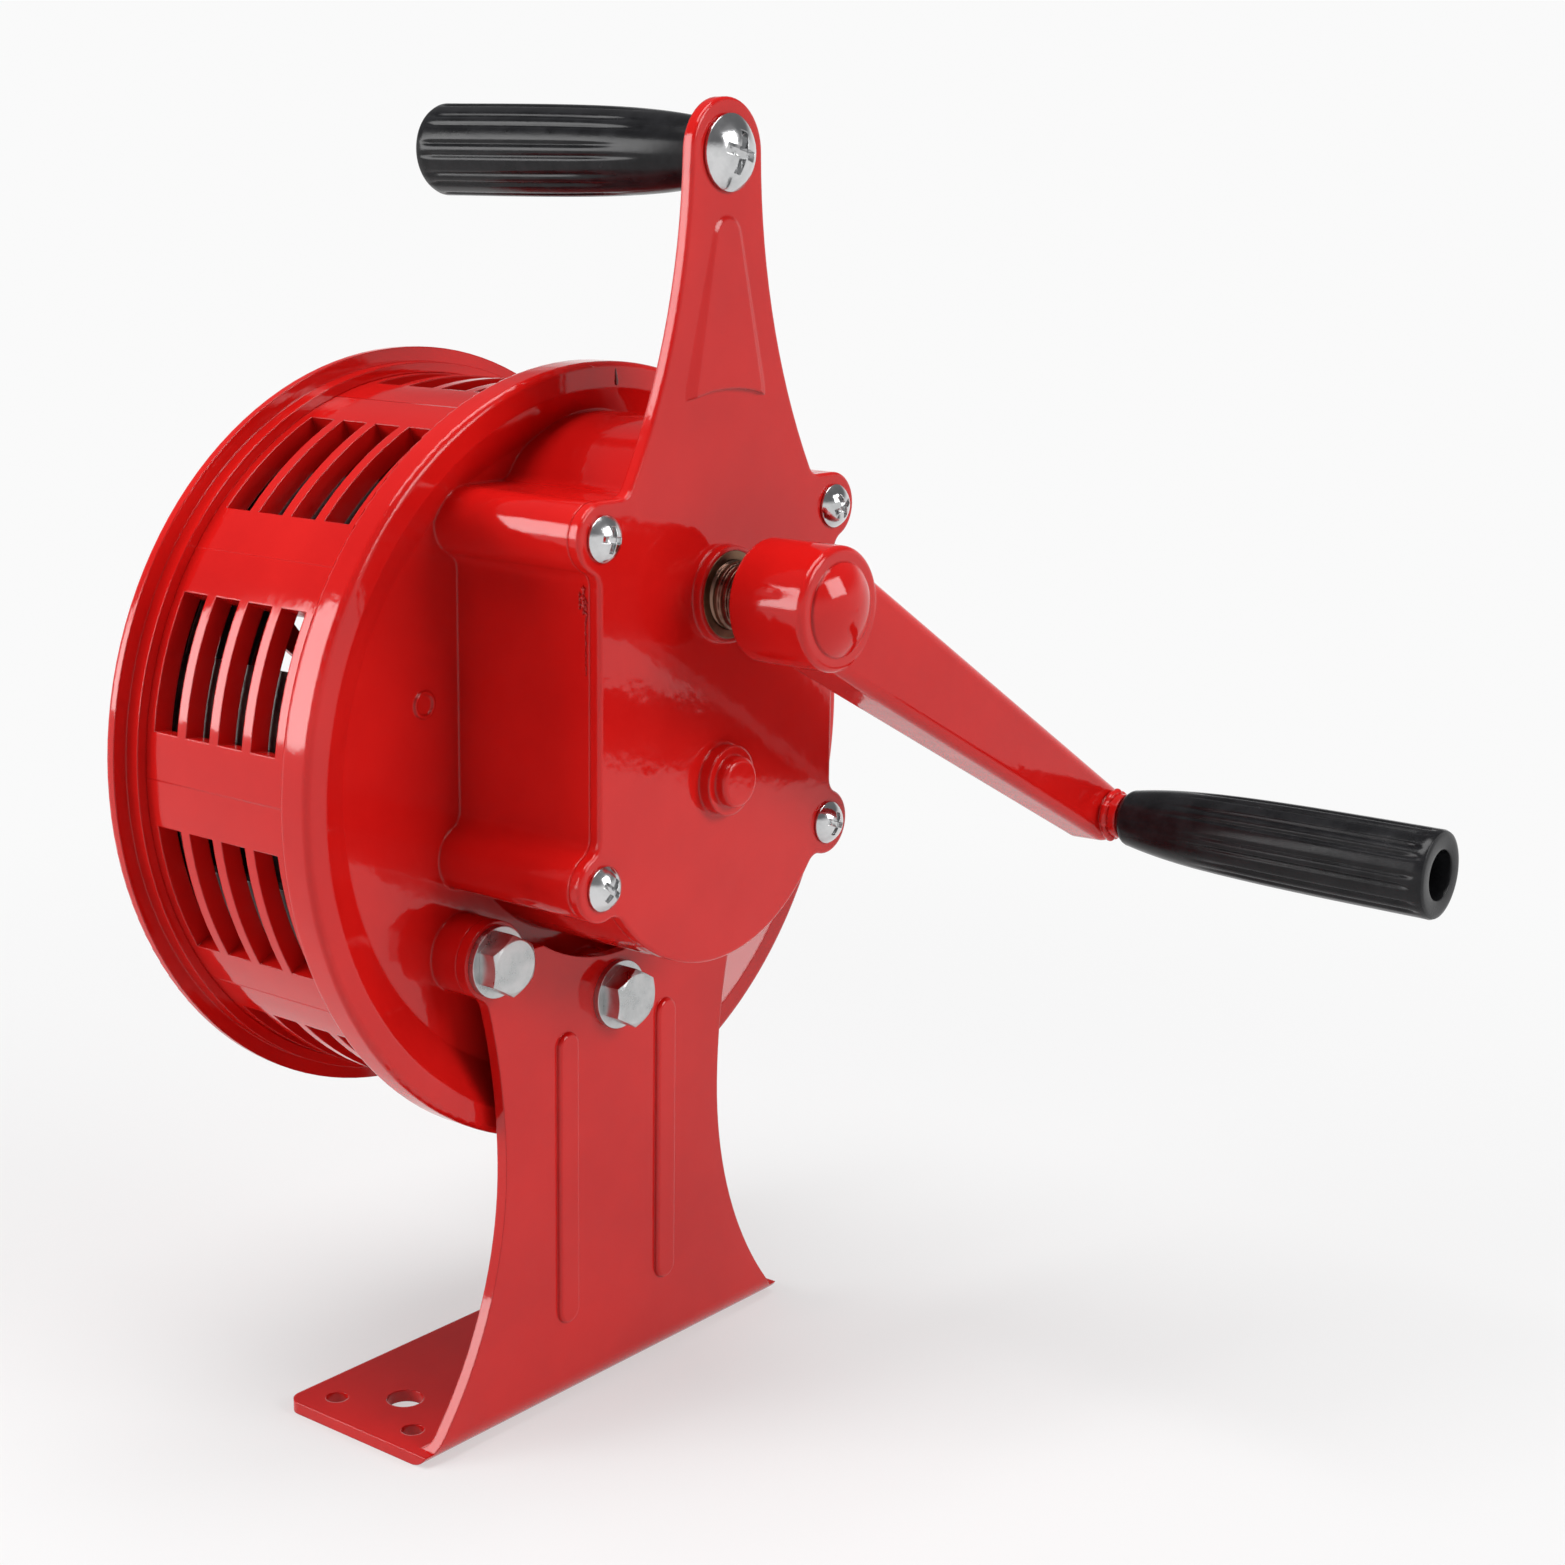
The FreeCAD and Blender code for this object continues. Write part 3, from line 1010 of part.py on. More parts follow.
def crank_grip_pin():
    """Shoulder pin pressed into the arm; its thin end carries the nut."""
    shoulder_y = grip_start_y + GRIP_CORE_LENGTH + END_PLAY
    nut_y = shoulder_y + GRIP_NUT_THICKNESS + 1
    body = cylinder(GRIP_PIN_RADIUS, arm_tip_y - GRIP_PIN_SEAT_DEPTH, shoulder_y, crank_tip_x, crank_tip_z)
    thin = cylinder(GRIP_PIN_THREAD_RADIUS, shoulder_y - 1, nut_y, crank_tip_x, crank_tip_z)
    return body.fuse(thin).removeSplitter()


def nut(flats, hole_radius, y0, y1, x, z):
    return hexagon(flats, y0, y1, x, z).cut(cylinder(hole_radius, y0 - 1, y1 + 1, x, z))


# Rotor

def rotor_disc():
    """Back plate and hub in one, bored for the shaft."""
    plate = cylinder(rotor_radius, rotor_plate_y, rotor_back_y)
    hub = cylinder(ROTOR_HUB_RADIUS, rotor_back_y - ROTOR_HUB_LENGTH, rotor_back_y)
    bore = cylinder(ROTOR_SHAFT_RADIUS + SEAT_GAP, rotor_front_y - 1, rotor_back_y + 1)
    return plate.fuse(hub).removeSplitter().cut(bore)


def rotor_blade():
    """One vane with the stretch of rim that it carries; the vane slopes down to the hub, along +X."""
    half_angle = 180 / VENT_GROUPS - ROTOR_PORT_HALF_ANGLE_DEG
    rim = ring_sector(rotor_radius, rotor_radius - ROTOR_RIM_THICKNESS, rotor_ring_y, rotor_plate_y,
                      0, half_angle)
    root = ROTOR_HUB_RADIUS + SEAT_GAP
    root_front = rotor_back_y - ROTOR_HUB_LENGTH + ROTOR_VANE_ROOT_MARGIN
    eye = rotor_radius - ROTOR_FRONT_RING_WIDTH
    outer = rotor_radius - ROTOR_RIM_THICKNESS / 2
    corners = [Vector(root, rotor_plate_y, 0), Vector(root, root_front, 0),
               Vector(root + ROTOR_VANE_ROOT_WIDTH, root_front, 0), Vector(eye, rotor_ring_y, 0),
               Vector(outer, rotor_ring_y, 0), Vector(outer, rotor_plate_y, 0)]
    vane = face_of(closed_lines(corners)).extrude(Vector(0, 0, ROTOR_VANE_THICKNESS))
    vane.translate(Vector(0, 0, HORN_AXIS_HEIGHT - ROTOR_VANE_THICKNESS / 2))
    return rim.fuse(vane).removeSplitter()


def rotor_blades():
    """Ten blades, one for each group of slots; at rest the ports between them stand part open."""
    blade = rotor_blade()
    pitch = 360 / VENT_GROUPS
    first = VENT_FIRST_DEG + ROTOR_REST_DEG + pitch / 2
    return Part.makeCompound([about_horn(blade, first + k * pitch) for k in range(VENT_GROUPS)])


def rotor_front_ring():
    return tube(rotor_radius, rotor_radius - ROTOR_FRONT_RING_WIDTH, rotor_front_y, rotor_ring_y)


def rotor_shaft():
    front = (rotor_back_y - ROTOR_HUB_LENGTH - ROTOR_WASHER_THICKNESS
             - ROTOR_NUT_THICKNESS - ROTOR_SHAFT_STICK_OUT)
    back = cover_front_y + ROTOR_BUSH_POCKET - COVER_THICKNESS - SHAFT_END_GAP
    return cylinder(ROTOR_SHAFT_RADIUS, front, back)


# Write every piece

os.makedirs("parts", exist_ok=True)

write("mounting_bracket", mounting_bracket())
write("bracket_washers", bracket_washers())
write("bracket_bolts", Part.makeCompound([bracket_bolt(x, z) for x, z in bracket_bolt_places()]))
write("rear_casing", rear_casing())
write("vented_drum", vented_drum())
write("front_horn", front_horn())
write("horn_grille", horn_grille())
write("gear_cover", gear_cover())
write("cover_screws", Part.makeCompound([
    screw(COVER_SCREW_RADIUS, COVER_SCREW_LENGTH, COVER_SCREW_HEAD_RADIUS, COVER_SCREW_HEAD_HEIGHT,
          cover_back_y, x, z) for x, z in cover_screw_places()]))
write("carry_grip", grip(cover_front_y, -1, 0, carry_grip_z))
write("carry_grip_screw", screw(CARRY_SCREW_RADIUS, CARRY_SCREW_REACH, CARRY_SCREW_HEAD_RADIUS,
                                CARRY_SCREW_HEAD_HEIGHT, cover_back_y, 0, carry_grip_z))
write("crank_bush_outer", bush(CRANK_SHAFT_RADIUS, BUSH_WALL, cover_front_y - CRANK_BOSS_INSIDE_HEIGHT,
                               crank_boss_y, crank_z))
write("crank_bush_inner", bush(CRANK_JOURNAL_RADIUS, BUSH_WALL, casing_front_y + CASING_WALL / 2,
                               bush_boss_y, crank_z))
write("rotor_bush_front", bush(ROTOR_SHAFT_RADIUS, BUSH_WALL, casing_front_y, bush_boss_y,
                               HORN_AXIS_HEIGHT))
write("rotor_bush_rear", bush(ROTOR_SHAFT_RADIUS, BUSH_WALL / 2, cover_front_y,
                              cover_front_y + ROTOR_BUSH_POCKET - COVER_THICKNESS, HORN_AXIS_HEIGHT))
write("idler_pin", idler_pin())
write("crank_shaft", crank_shaft())
write("crank_gear", crank_gear())
write("crank_arm", crank_arm())
write("crank_grip_pin", crank_grip_pin())
write("crank_grip_nut", nut(GRIP_NUT_FLATS, GRIP_PIN_THREAD_RADIUS + SEAT_GAP,
                            grip_start_y + GRIP_CORE_LENGTH + END_PLAY,
                            grip_start_y + GRIP_CORE_LENGTH + END_PLAY + GRIP_NUT_THICKNESS,
                            crank_tip_x, crank_tip_z))
write("crank_grip", grip(grip_start_y, 1, crank_tip_x, crank_tip_z))
write("idler_pinion", idler_pinion())
write("idler_gear", idler_gear())
write("rotor_disc", rotor_disc())
write("rotor_blades", rotor_blades())
write("rotor_front_ring", rotor_front_ring())
write("rotor_shaft", rotor_shaft())
write("rotor_pinion", rotor_pinion())
washer_back_y = rotor_back_y - ROTOR_HUB_LENGTH
nut_back_y = washer_back_y - ROTOR_WASHER_THICKNESS
write("rotor_washer", tube(ROTOR_WASHER_RADIUS, ROTOR_SHAFT_RADIUS + BOLT_HOLE_CLEARANCE,
                           nut_back_y, washer_back_y))
write("rotor_nut", nut(ROTOR_NUT_FLATS, ROTOR_SHAFT_RADIUS + SEAT_GAP,
                       nut_back_y - ROTOR_NUT_THICKNESS, nut_back_y, 0, HORN_AXIS_HEIGHT))
print("crank axis", round(crank_z, 3))
print("idler axis", round(idler_x, 3), round(idler_z, 3))
print("crank tip", round(crank_tip_x, 3), round(crank_tip_z, 3))
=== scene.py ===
# %% [markdown]
# # A hand cranked siren
# The siren is a red enamelled drum with a grilled horn in front, a gear case and a crank behind,
# a bent bracket below and a carrying arm on top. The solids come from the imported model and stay
# where they are. This lesson dresses them: it works out the few pieces whose surface is finer
# than a solid can hold, gives every piece its finish, and sets up a plain photo studio.

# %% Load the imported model
import json
import math
import bpy
import numpy as np
from mathutils import Matrix, Vector


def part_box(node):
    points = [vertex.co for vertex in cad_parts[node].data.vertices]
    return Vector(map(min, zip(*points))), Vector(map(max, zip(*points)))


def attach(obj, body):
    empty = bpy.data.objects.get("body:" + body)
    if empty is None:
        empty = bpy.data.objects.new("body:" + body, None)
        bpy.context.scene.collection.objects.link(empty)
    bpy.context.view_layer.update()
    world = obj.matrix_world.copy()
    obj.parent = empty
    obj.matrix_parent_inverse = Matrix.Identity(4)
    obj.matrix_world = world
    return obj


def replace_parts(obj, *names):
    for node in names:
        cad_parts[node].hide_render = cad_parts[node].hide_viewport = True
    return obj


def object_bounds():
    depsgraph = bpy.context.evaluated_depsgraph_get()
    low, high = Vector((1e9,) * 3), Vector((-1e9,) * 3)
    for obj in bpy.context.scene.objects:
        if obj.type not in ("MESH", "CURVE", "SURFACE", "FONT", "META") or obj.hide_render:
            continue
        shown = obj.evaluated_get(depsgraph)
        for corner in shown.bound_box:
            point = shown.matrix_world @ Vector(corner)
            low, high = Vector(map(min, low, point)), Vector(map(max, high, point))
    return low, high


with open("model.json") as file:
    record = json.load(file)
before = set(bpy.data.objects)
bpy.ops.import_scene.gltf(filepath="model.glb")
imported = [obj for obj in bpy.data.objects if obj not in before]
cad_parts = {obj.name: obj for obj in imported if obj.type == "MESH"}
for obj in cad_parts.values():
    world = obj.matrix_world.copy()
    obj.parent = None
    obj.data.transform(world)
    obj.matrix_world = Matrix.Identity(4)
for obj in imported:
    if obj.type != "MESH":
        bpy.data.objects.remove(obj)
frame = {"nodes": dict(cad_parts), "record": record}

solid_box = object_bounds()
nodes = frame["nodes"]
slot_of_node = {part["node"]: part["material_slot"] for part in frame["record"]["subparts"]}
print("solids loaded:", len(nodes), "box in metres:", [[round(v, 4) for v in c] for c in solid_box])

# %% [markdown]
# ## A skin made of rings
# Grips, screws and shafts are all round things. A profile spun round its axis would make the plain
# ones, but not a groove that fades or a thread. So each is a stack of closed rings, one after
# another along its outline: a function of two numbers, how far along the outline and how far
# round. Numpy works all the points out at once, and one helper turns any such stack into a mesh. It
# closes an open stack at both ends with a fan of triangles to the middle of the end ring, and where
# the outline comes back to its start, as on a tube, it joins the last ring to the first.

# %% Turn a stack of rings into a mesh piece
MM = 0.001


def piece_from_rings(name, rings, body, slot, tube=False, sharp_deg=35):
    """rings[i, j] is point j of ring i, and rings[s, i, j] holds several stacks that become one mesh.

    Neighbours make a four-sided face, and the sign of the volume tells the outside.
    """
    stacks, count, around = rings.reshape(-1, *rings.shape[-3:]).shape[:3]
    rings = rings.reshape(stacks, count, around, 3)
    shift = np.arange(stacks)[:, None, None] * count * around
    index = np.arange(count * around).reshape(count, around)
    beside = np.roll(index, -1, axis=1)
    points = rings.reshape(-1, 3)
    fans = np.zeros((0, 3), int)
    if tube:
        quads = np.stack([index, beside, np.roll(beside, -1, axis=0), np.roll(index, -1, axis=0)], axis=-1)
    else:
        quads = np.stack([index[:-1], beside[:-1], beside[1:], index[1:]], axis=-1)
        first = len(points) + np.arange(stacks)[:, None] + np.zeros(around, int)
        points = np.vstack([points, rings[:, 0].mean(axis=1), rings[:, -1].mean(axis=1)])
        ends = shift[:, :, 0]
        start = np.stack([beside[0] + ends, index[0] + ends, first], axis=-1)
        end = np.stack([index[-1] + ends, beside[-1] + ends, first + stacks], axis=-1)
        fans = np.concatenate([start.reshape(-1, 3), end.reshape(-1, 3)])
    quads = (quads.reshape(1, -1, 4) + shift).reshape(-1, 4)
    corners = np.vstack([fans, quads[:, [0, 1, 2]], quads[:, [0, 2, 3]]])
    a, b, c = points[corners[:, 0]], points[corners[:, 1]], points[corners[:, 2]]
    if np.einsum("ij,ij->i", a, np.cross(b, c)).sum() < 0:
        quads, fans = quads[:, ::-1], fans[:, ::-1]
    mesh = bpy.data.meshes.new(name)
    mesh.vertices.add(len(points))
    mesh.vertices.foreach_set("co", (points * MM).astype(np.float32).ravel())
    loops = np.concatenate([quads.ravel(), fans.ravel()]).astype(np.int32)
    mesh.loops.add(len(loops))
    mesh.loops.foreach_set("vertex_index", loops)
    starts = np.concatenate([np.arange(len(quads)) * 4, len(quads) * 4 + np.arange(len(fans)) * 3])
    mesh.polygons.add(len(starts))
    mesh.polygons.foreach_set("loop_start", starts.astype(np.int32))
    mesh.update(calc_edges=True)
    mesh.validate()
    mesh.polygons.foreach_set("use_smooth", np.ones(len(mesh.polygons), bool))
    mesh.set_sharp_from_angle(angle=math.radians(sharp_deg))
    piece = bpy.data.objects.new(name, mesh)
    bpy.context.scene.collection.objects.link(piece)
    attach(piece, body)
    slot_of_node[name] = slot
    print(name, "faces", len(mesh.polygons), "rides on", body)
    return piece


def millimetre_box(node):
    """Lowest and highest corner of a solid, in millimetres."""
    low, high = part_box(node)
    return np.array(low) / MM, np.array(high) / MM


def round_about_y(radius, along, angle, x, z):
    """Points at that radius and place along Y, turned by angle from +X towards +Z about the axis x, z."""
    return np.stack([x + radius * np.cos(angle), along + 0 * angle, z + radius * np.sin(angle)], axis=-1)


# %% [markdown]
# ## The two grips
# Both grips are the same black moulding: a narrow rounded neck that swells towards the free end,
# narrow grooves in pairs that run out to points before the neck, and a bored end. A solid would
# need a cutter for every groove. As a surface the grooves are a bell curve round the axis, repeated
# on both sides of each broad ridge, times a fade along it that starts a little earlier or later
# from one pair to the next, so they melt into the neck as the moulded ones do.

# %% Work out the grip
GRIP_NECK_RADIUS = 7.2
GRIP_NECK_ROUND = 2.5
GRIP_SWELL_REACH = 18.3
GRIP_END_ROUND = 1.0
GRIP_BORE_RADIUS = 6.0
GRIP_BORE_END = 34.0
PIN_HOLE_RADIUS = 4.1
PIN_HOLE_START = 17.0
GROOVE_PAIRS = 9
POINTS_PER_PAIR = 28
GROOVE_DEPTH = 0.55
GROOVE_PLACE = 0.19
GROOVE_WIDTH = 0.075
GROOVE_START = 0.19
GROOVE_START_SPREAD = 0.06
GROOVE_RUN_IN = 0.24
GROOVE_END = 2.2
GROOVE_RUN_OUT = 1.6
SLACK = 0.1


def smooth(amount):
    """An amount cut off at 0 and 1 and eased at both ends: amount² * (3 - 2 * amount)."""
    amount = np.clip(amount, 0, 1)
    return amount ** 2 * (3 - 2 * amount)


def grip_outline(length, full):
    """Radius and distance from the neck face, along the neck, the swell, the end, the bore and the pin hole.

    On the swell the radius is beyond - (beyond - neck) * exp(-distance / reach), cut off at full, where
    beyond is a hair more than full.
    """
    turn = np.linspace(0, math.pi / 2, 7)[1:]
    neck, neck_round, bore = GRIP_NECK_RADIUS, GRIP_NECK_ROUND, GRIP_BORE_RADIUS
    swell_y = neck_round + (length - GRIP_END_ROUND - neck_round) * np.linspace(0, 1, 64)[1:] ** 1.3
    beyond = full + 0.05
    swell_r = beyond - (beyond - neck) * np.exp(-(swell_y - neck_round) / GRIP_SWELL_REACH)
    return np.vstack([
        np.stack([np.linspace(PIN_HOLE_RADIUS, neck - neck_round, 3), np.zeros(3)], axis=1),
        np.stack([neck - neck_round + neck_round * np.sin(turn),
                  neck_round - neck_round * np.cos(turn)], axis=1),
        np.stack([np.minimum(swell_r, full), swell_y], axis=1),
        [[full - 0.3, length - 0.3], [full - GRIP_END_ROUND, length], [full - 1.6, length],
         [bore + 0.6, length], [bore + 0.15, length - 0.15], [bore, length - 0.6]],
        np.stack([np.full(6, bore), np.linspace(length - 4.0, GRIP_BORE_END + 2.0, 6)], axis=1),
        [[bore, GRIP_BORE_END + 0.3], [bore - 0.3, GRIP_BORE_END],
         [PIN_HOLE_RADIUS, GRIP_BORE_END], [PIN_HOLE_RADIUS, PIN_HOLE_START]]])


def fluted_grip(name, node, neck_at_front, body):
    """The grip in place of a node, with its axis and length taken from the node's box."""
    low, high = millimetre_box(node)
    x, z = (low[0] + high[0]) / 2, (low[2] + high[2]) / 2
    length = high[1] - low[1]
    radius, along = grip_outline(length, (high[0] - low[0]) / 2).T
    turn = np.linspace(0, GROOVE_PAIRS, GROOVE_PAIRS * POINTS_PER_PAIR, endpoint=False)
    angle = turn * 2 * math.pi / GROOVE_PAIRS
    outer = (radius > GRIP_NECK_RADIUS - SLACK) & (along > GRIP_NECK_ROUND - SLACK) \
        & (along < length - GRIP_END_ROUND + SLACK)
    begins = length * (GROOVE_START + GROOVE_START_SPREAD * np.sin(2.4 * np.round(turn * 2)))
    fade_in = smooth((along[:, None] - begins[None, :]) / (GROOVE_RUN_IN * length))
    fade_out = smooth((length - GROOVE_END - along) / GROOVE_RUN_OUT)
    fade = fade_in * (fade_out * outer)[:, None]
    from_ridge = np.abs((turn + 0.5) % 1.0 - 0.5)
    groove = np.exp(-((from_ridge - GROOVE_PLACE) / GROOVE_WIDTH) ** 2)
    grooved = radius[:, None] - GROOVE_DEPTH * fade * groove[None, :]
    place = low[1] + along if neck_at_front else high[1] - along
    rings = round_about_y(grooved, place[:, None], angle[None, :], x, z)
    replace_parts(piece_from_rings(name, rings, body, "black_plastic", tube=True), node)


fluted_grip("carry_grip_fluted", "carry_grip", False, "housing")
fluted_grip("crank_grip_fluted", "crank_grip", True, "loose_grip")

# %% [markdown]
# ## Cross recess screws
# Four small screws hold the gear cover and a large one holds the carrying grip. Their heads are
# low domes with a cross recess. The rings of the head change shape on the way in: they start as
# circles at the rim and end as crosses at the recess, so the recess gets clean straight walls
# without cutting anything. The shank below is a plain round rod with a helix pressed into it.

# %% Work out a cross recess screw
CROSS_REACH = 0.56
CROSS_HALF_WIDTH = 0.135
CROSS_DEPTH = 0.62
HEAD_EDGE = 0.2
THREAD_CREST = 0.94
THREAD_SHARE = 0.1


def cross_outline(reach, half_width, samples=6):
    """Angle and distance of points round a plus sign: out along one side of an arm, across, and back."""
    side = np.linspace(0, 1, samples)[1:-1]
    inner, outer = np.array([half_width, half_width]), np.array([reach, half_width])
    flank = inner + side[:, None] * (outer - inner)
    across = np.array([[reach, half_width * t] for t in (0.96, 0.5, 0.0)])
    half = np.vstack([inner, flank, outer * [0.99, 1.0], across])
    other = half[::-1][1:-1] * [1, -1]
    arm = np.vstack([half, other])[::-1]
    turned = []
    for quarter in range(4):
        c, s = math.cos(quarter * math.pi / 2), math.sin(quarter * math.pi / 2)
        turned.append(arm @ np.array([[c, s], [-s, c]]))
    loop = np.vstack(turned)
    angle = np.unwrap(np.arctan2(loop[:, 1], loop[:, 0]))
    return angle, np.hypot(loop[:, 0], loop[:, 1])


def cross_head_screw(name, x, z, seat, tip, head_radius, head_height, shank_radius, pitch, turn_deg):
    """Rings from the tip, up the threaded shank, under the head, over the dome and down into the cross.

    The thread is a triangle wave of (distance / pitch - angle / turn), and the recess gets deeper
    towards the axis: depth * (1 - 0.55 * radius / reach).
    """
    reach = CROSS_REACH * head_radius
    angle, cross = cross_outline(reach, CROSS_HALF_WIDTH * head_radius)
    angle, cross = (angle + math.radians(turn_deg))[None, :], cross[None, :]
    edge = HEAD_EDGE * head_height
    crown = head_height - edge
    sphere = (head_radius ** 2 + crown ** 2) / (2 * crown)

    def dome(radius):
        """Height of a spherical cap over the seat."""
        return edge + crown - sphere + np.sqrt(sphere ** 2 - np.minimum(radius, head_radius) ** 2)

    def ring(radius, y):
        return round_about_y(radius, y, angle, x, z)

    turns = (seat - tip) / pitch
    steps = np.linspace(0, 1, int(turns * 6))[:, None]
    thread = np.abs(((steps * turns - angle / (2 * math.pi)) % 1.0) * 2 - 1)
    ends = np.clip(np.minimum(steps, 1 - steps) * 12, 0, 1)
    shank = ring(shank_radius * (THREAD_CREST - THREAD_SHARE * thread * ends), tip + steps * (seat - tip))
    under = ring(np.array([[0.9], [0.97]]) * head_radius + 0 * angle, np.array([[seat], [seat + 0.02]]))
    rim = ring(head_radius + 0 * angle, np.array([[seat + 0.3 * edge]]))
    blend = np.linspace(0, 1, 12)[:, None]
    top_r = head_radius * (1 - blend) + cross * blend
    top_y = seat + dome(top_r)
    lip = ring(cross * 0.985, top_y[-1:] - 0.06 * head_height)
    floor_r = cross * np.linspace(0.86, 0.12, 5)[:, None]
    floor_y = seat + dome(floor_r) - CROSS_DEPTH * head_height * (1 - 0.55 * floor_r / reach)
    rings = np.concatenate([shank, under, rim, ring(top_r, top_y), lip, ring(floor_r, floor_y)])
    return piece_from_rings(name, rings, "housing", "bright_zinc", sharp_deg=28)


# %% Put the screws where the solids have them
COVER_HEAD_RADIUS, COVER_HEAD_HEIGHT = 5.2, 3.4
COVER_SHANK_RADIUS, COVER_PITCH = 2.5, 0.8
GRIP_HEAD_HEIGHT = 4.6
GRIP_SHANK_RADIUS, GRIP_PITCH = 4.0, 1.25

low, high = millimetre_box("cover_screws")
left, right = low[0] + COVER_HEAD_RADIUS, high[0] - COVER_HEAD_RADIUS
bottom, top = low[2] + COVER_HEAD_RADIUS, high[2] - COVER_HEAD_RADIUS
# Each place is x, z and the turn of its cross in degrees.
places = [(left, bottom, 20), (left, top, 64), (right, bottom, 40), (right, top, 8)]
for number, (x, z, turn_deg) in enumerate(places, start=1):
    screw = cross_head_screw(f"cover_screw_{number}", x, z, high[1] - COVER_HEAD_HEIGHT, low[1],
                             COVER_HEAD_RADIUS, COVER_HEAD_HEIGHT, COVER_SHANK_RADIUS, COVER_PITCH, turn_deg)
    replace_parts(screw, "cover_screws")

low, high = millimetre_box("carry_grip_screw")
screw = cross_head_screw("carry_grip_cross_screw", (low[0] + high[0]) / 2, (low[2] + high[2]) / 2,
                         high[1] - GRIP_HEAD_HEIGHT, low[1], (high[0] - low[0]) / 2, GRIP_HEAD_HEIGHT,
                         GRIP_SHANK_RADIUS, GRIP_PITCH, 14)
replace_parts(screw, "carry_grip_screw")

# %% [markdown]
# ## The crank shaft
# The shaft shows for a finger's width between its boss and the crank's hub. It is dark brown
# bronze with a coarse square thread there, on which the crank screws up. A Screw modifier could
# wind the thread, but it would end in open edges beside the plain shaft, so the radius itself
# carries it: a plain step outline, less a helical groove over the stretch with the thread. The
# groove is a cosine of the helix put through a logistic step, which gives it steep flanks and a
# flat floor.

# %% Work out the crank shaft
SHAFT_RADIUS = 8.0
JOURNAL_RADIUS = 5.0
SHOULDER_Y = 27.35
PLAIN_END_Y = 61.0
THREAD_START_Y = 61.6
THREAD_END_Y = 74.0
THREAD_RUN_OUT = 0.8
THREAD_PITCH = 2.4
THREAD_DEPTH = 0.55
CHAMFER_LENGTH, CHAMFER_DEPTH = 0.6, 0.5

low, high = millimetre_box("crank_shaft")
crank_x, crank_z = 0.0, (low[2] + high[2]) / 2
along = np.concatenate([
    [low[1] + 0.01, low[1] + CHAMFER_LENGTH, SHOULDER_Y - 0.05, SHOULDER_Y + 0.05],
    np.linspace(SHOULDER_Y + 0.45, PLAIN_END_Y, 8), np.linspace(PLAIN_END_Y + 0.2, THREAD_END_Y, 90),
    [THREAD_END_Y + 2.0, high[1] - CHAMFER_LENGTH, high[1]]])[:, None]
angle = np.linspace(0, 2 * math.pi, 96, endpoint=False)[None, :]
plain = np.where(along < SHOULDER_Y, JOURNAL_RADIUS, SHAFT_RADIUS)
plain[[0, -1]] -= CHAMFER_DEPTH
wave = np.cos(2 * math.pi * (along / THREAD_PITCH - angle / (2 * math.pi)))
groove = 1 / (1 + np.exp(-7 * (wave - 0.25)))
threaded = np.clip((along - THREAD_START_Y) / THREAD_RUN_OUT, 0, 1) \
    * np.clip((THREAD_END_Y - along) / THREAD_RUN_OUT, 0, 1)
shaft_rings = round_about_y(plain - THREAD_DEPTH * groove * threaded, along, angle, crank_x, crank_z)
threaded_shaft = piece_from_rings("crank_shaft_threaded", shaft_rings, "crank", "dark_bronze")
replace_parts(threaded_shaft, "crank_shaft")

# %% [markdown]
# ## The bead at the crank's tip
# Where the grip's pin leaves the arm the paint lies over a rough bead. Random noise could roughen a
# ring, but here its thickness wanders by a few sine waves with fixed phases, which close up after
# one turn and give the same lumps every time.

# %% Work out the bead
BEAD_RADIUS = 5.7
BEAD_HALF_WIDTH = 0.85
BEAD_HALF_LENGTH = 0.95
BEAD_OFFSET = 0.9
COLLAR_HEIGHT = 4.0

low, high = millimetre_box("crank_grip")
tip_x, tip_z = (low[0] + high[0]) / 2, (low[2] + high[2]) / 2
arm_face_y = millimetre_box("crank_arm")[1][1] - COLLAR_HEIGHT
angle = np.linspace(0, 2 * math.pi, 96, endpoint=False)[None, :]
section = np.linspace(0, 2 * math.pi, 20, endpoint=False)[:, None]
lumps = 1 + 0.18 * np.sin(5 * angle + 0.7) + 0.14 * np.sin(11 * angle + 2.1) + 0.1 * np.sin(17 * angle + 4.0)
bead_r = BEAD_RADIUS + BEAD_HALF_WIDTH * lumps * np.cos(section)
bead_y = arm_face_y + BEAD_OFFSET + BEAD_HALF_LENGTH * lumps * np.sin(section)
bead_rings = round_about_y(bead_r, bead_y, angle, tip_x, tip_z)
piece_from_rings("crank_tip_bead", bead_rings, "crank", "red_enamel_cast", tube=True, sharp_deg=80)

# %% [markdown]
# ## Marks of the maker's work
# A casting and its paint carry small flaws that make the thing look real: a nick across the rim of
# the rear casing, spatter along the edge of the gear case where the cover meets it, hairline
# cracks and short sags in the enamel of the front flange. A bump in the paint would show them too,
# but only in a render. So each one is a thin rib laid on the surface: its section is most of an
# ellipse with its flat side just under the paint, and its width and height wander along its length
# as sums of sine waves.

# %% Work out ribs laid on a surface
RIB_RINGS = 28


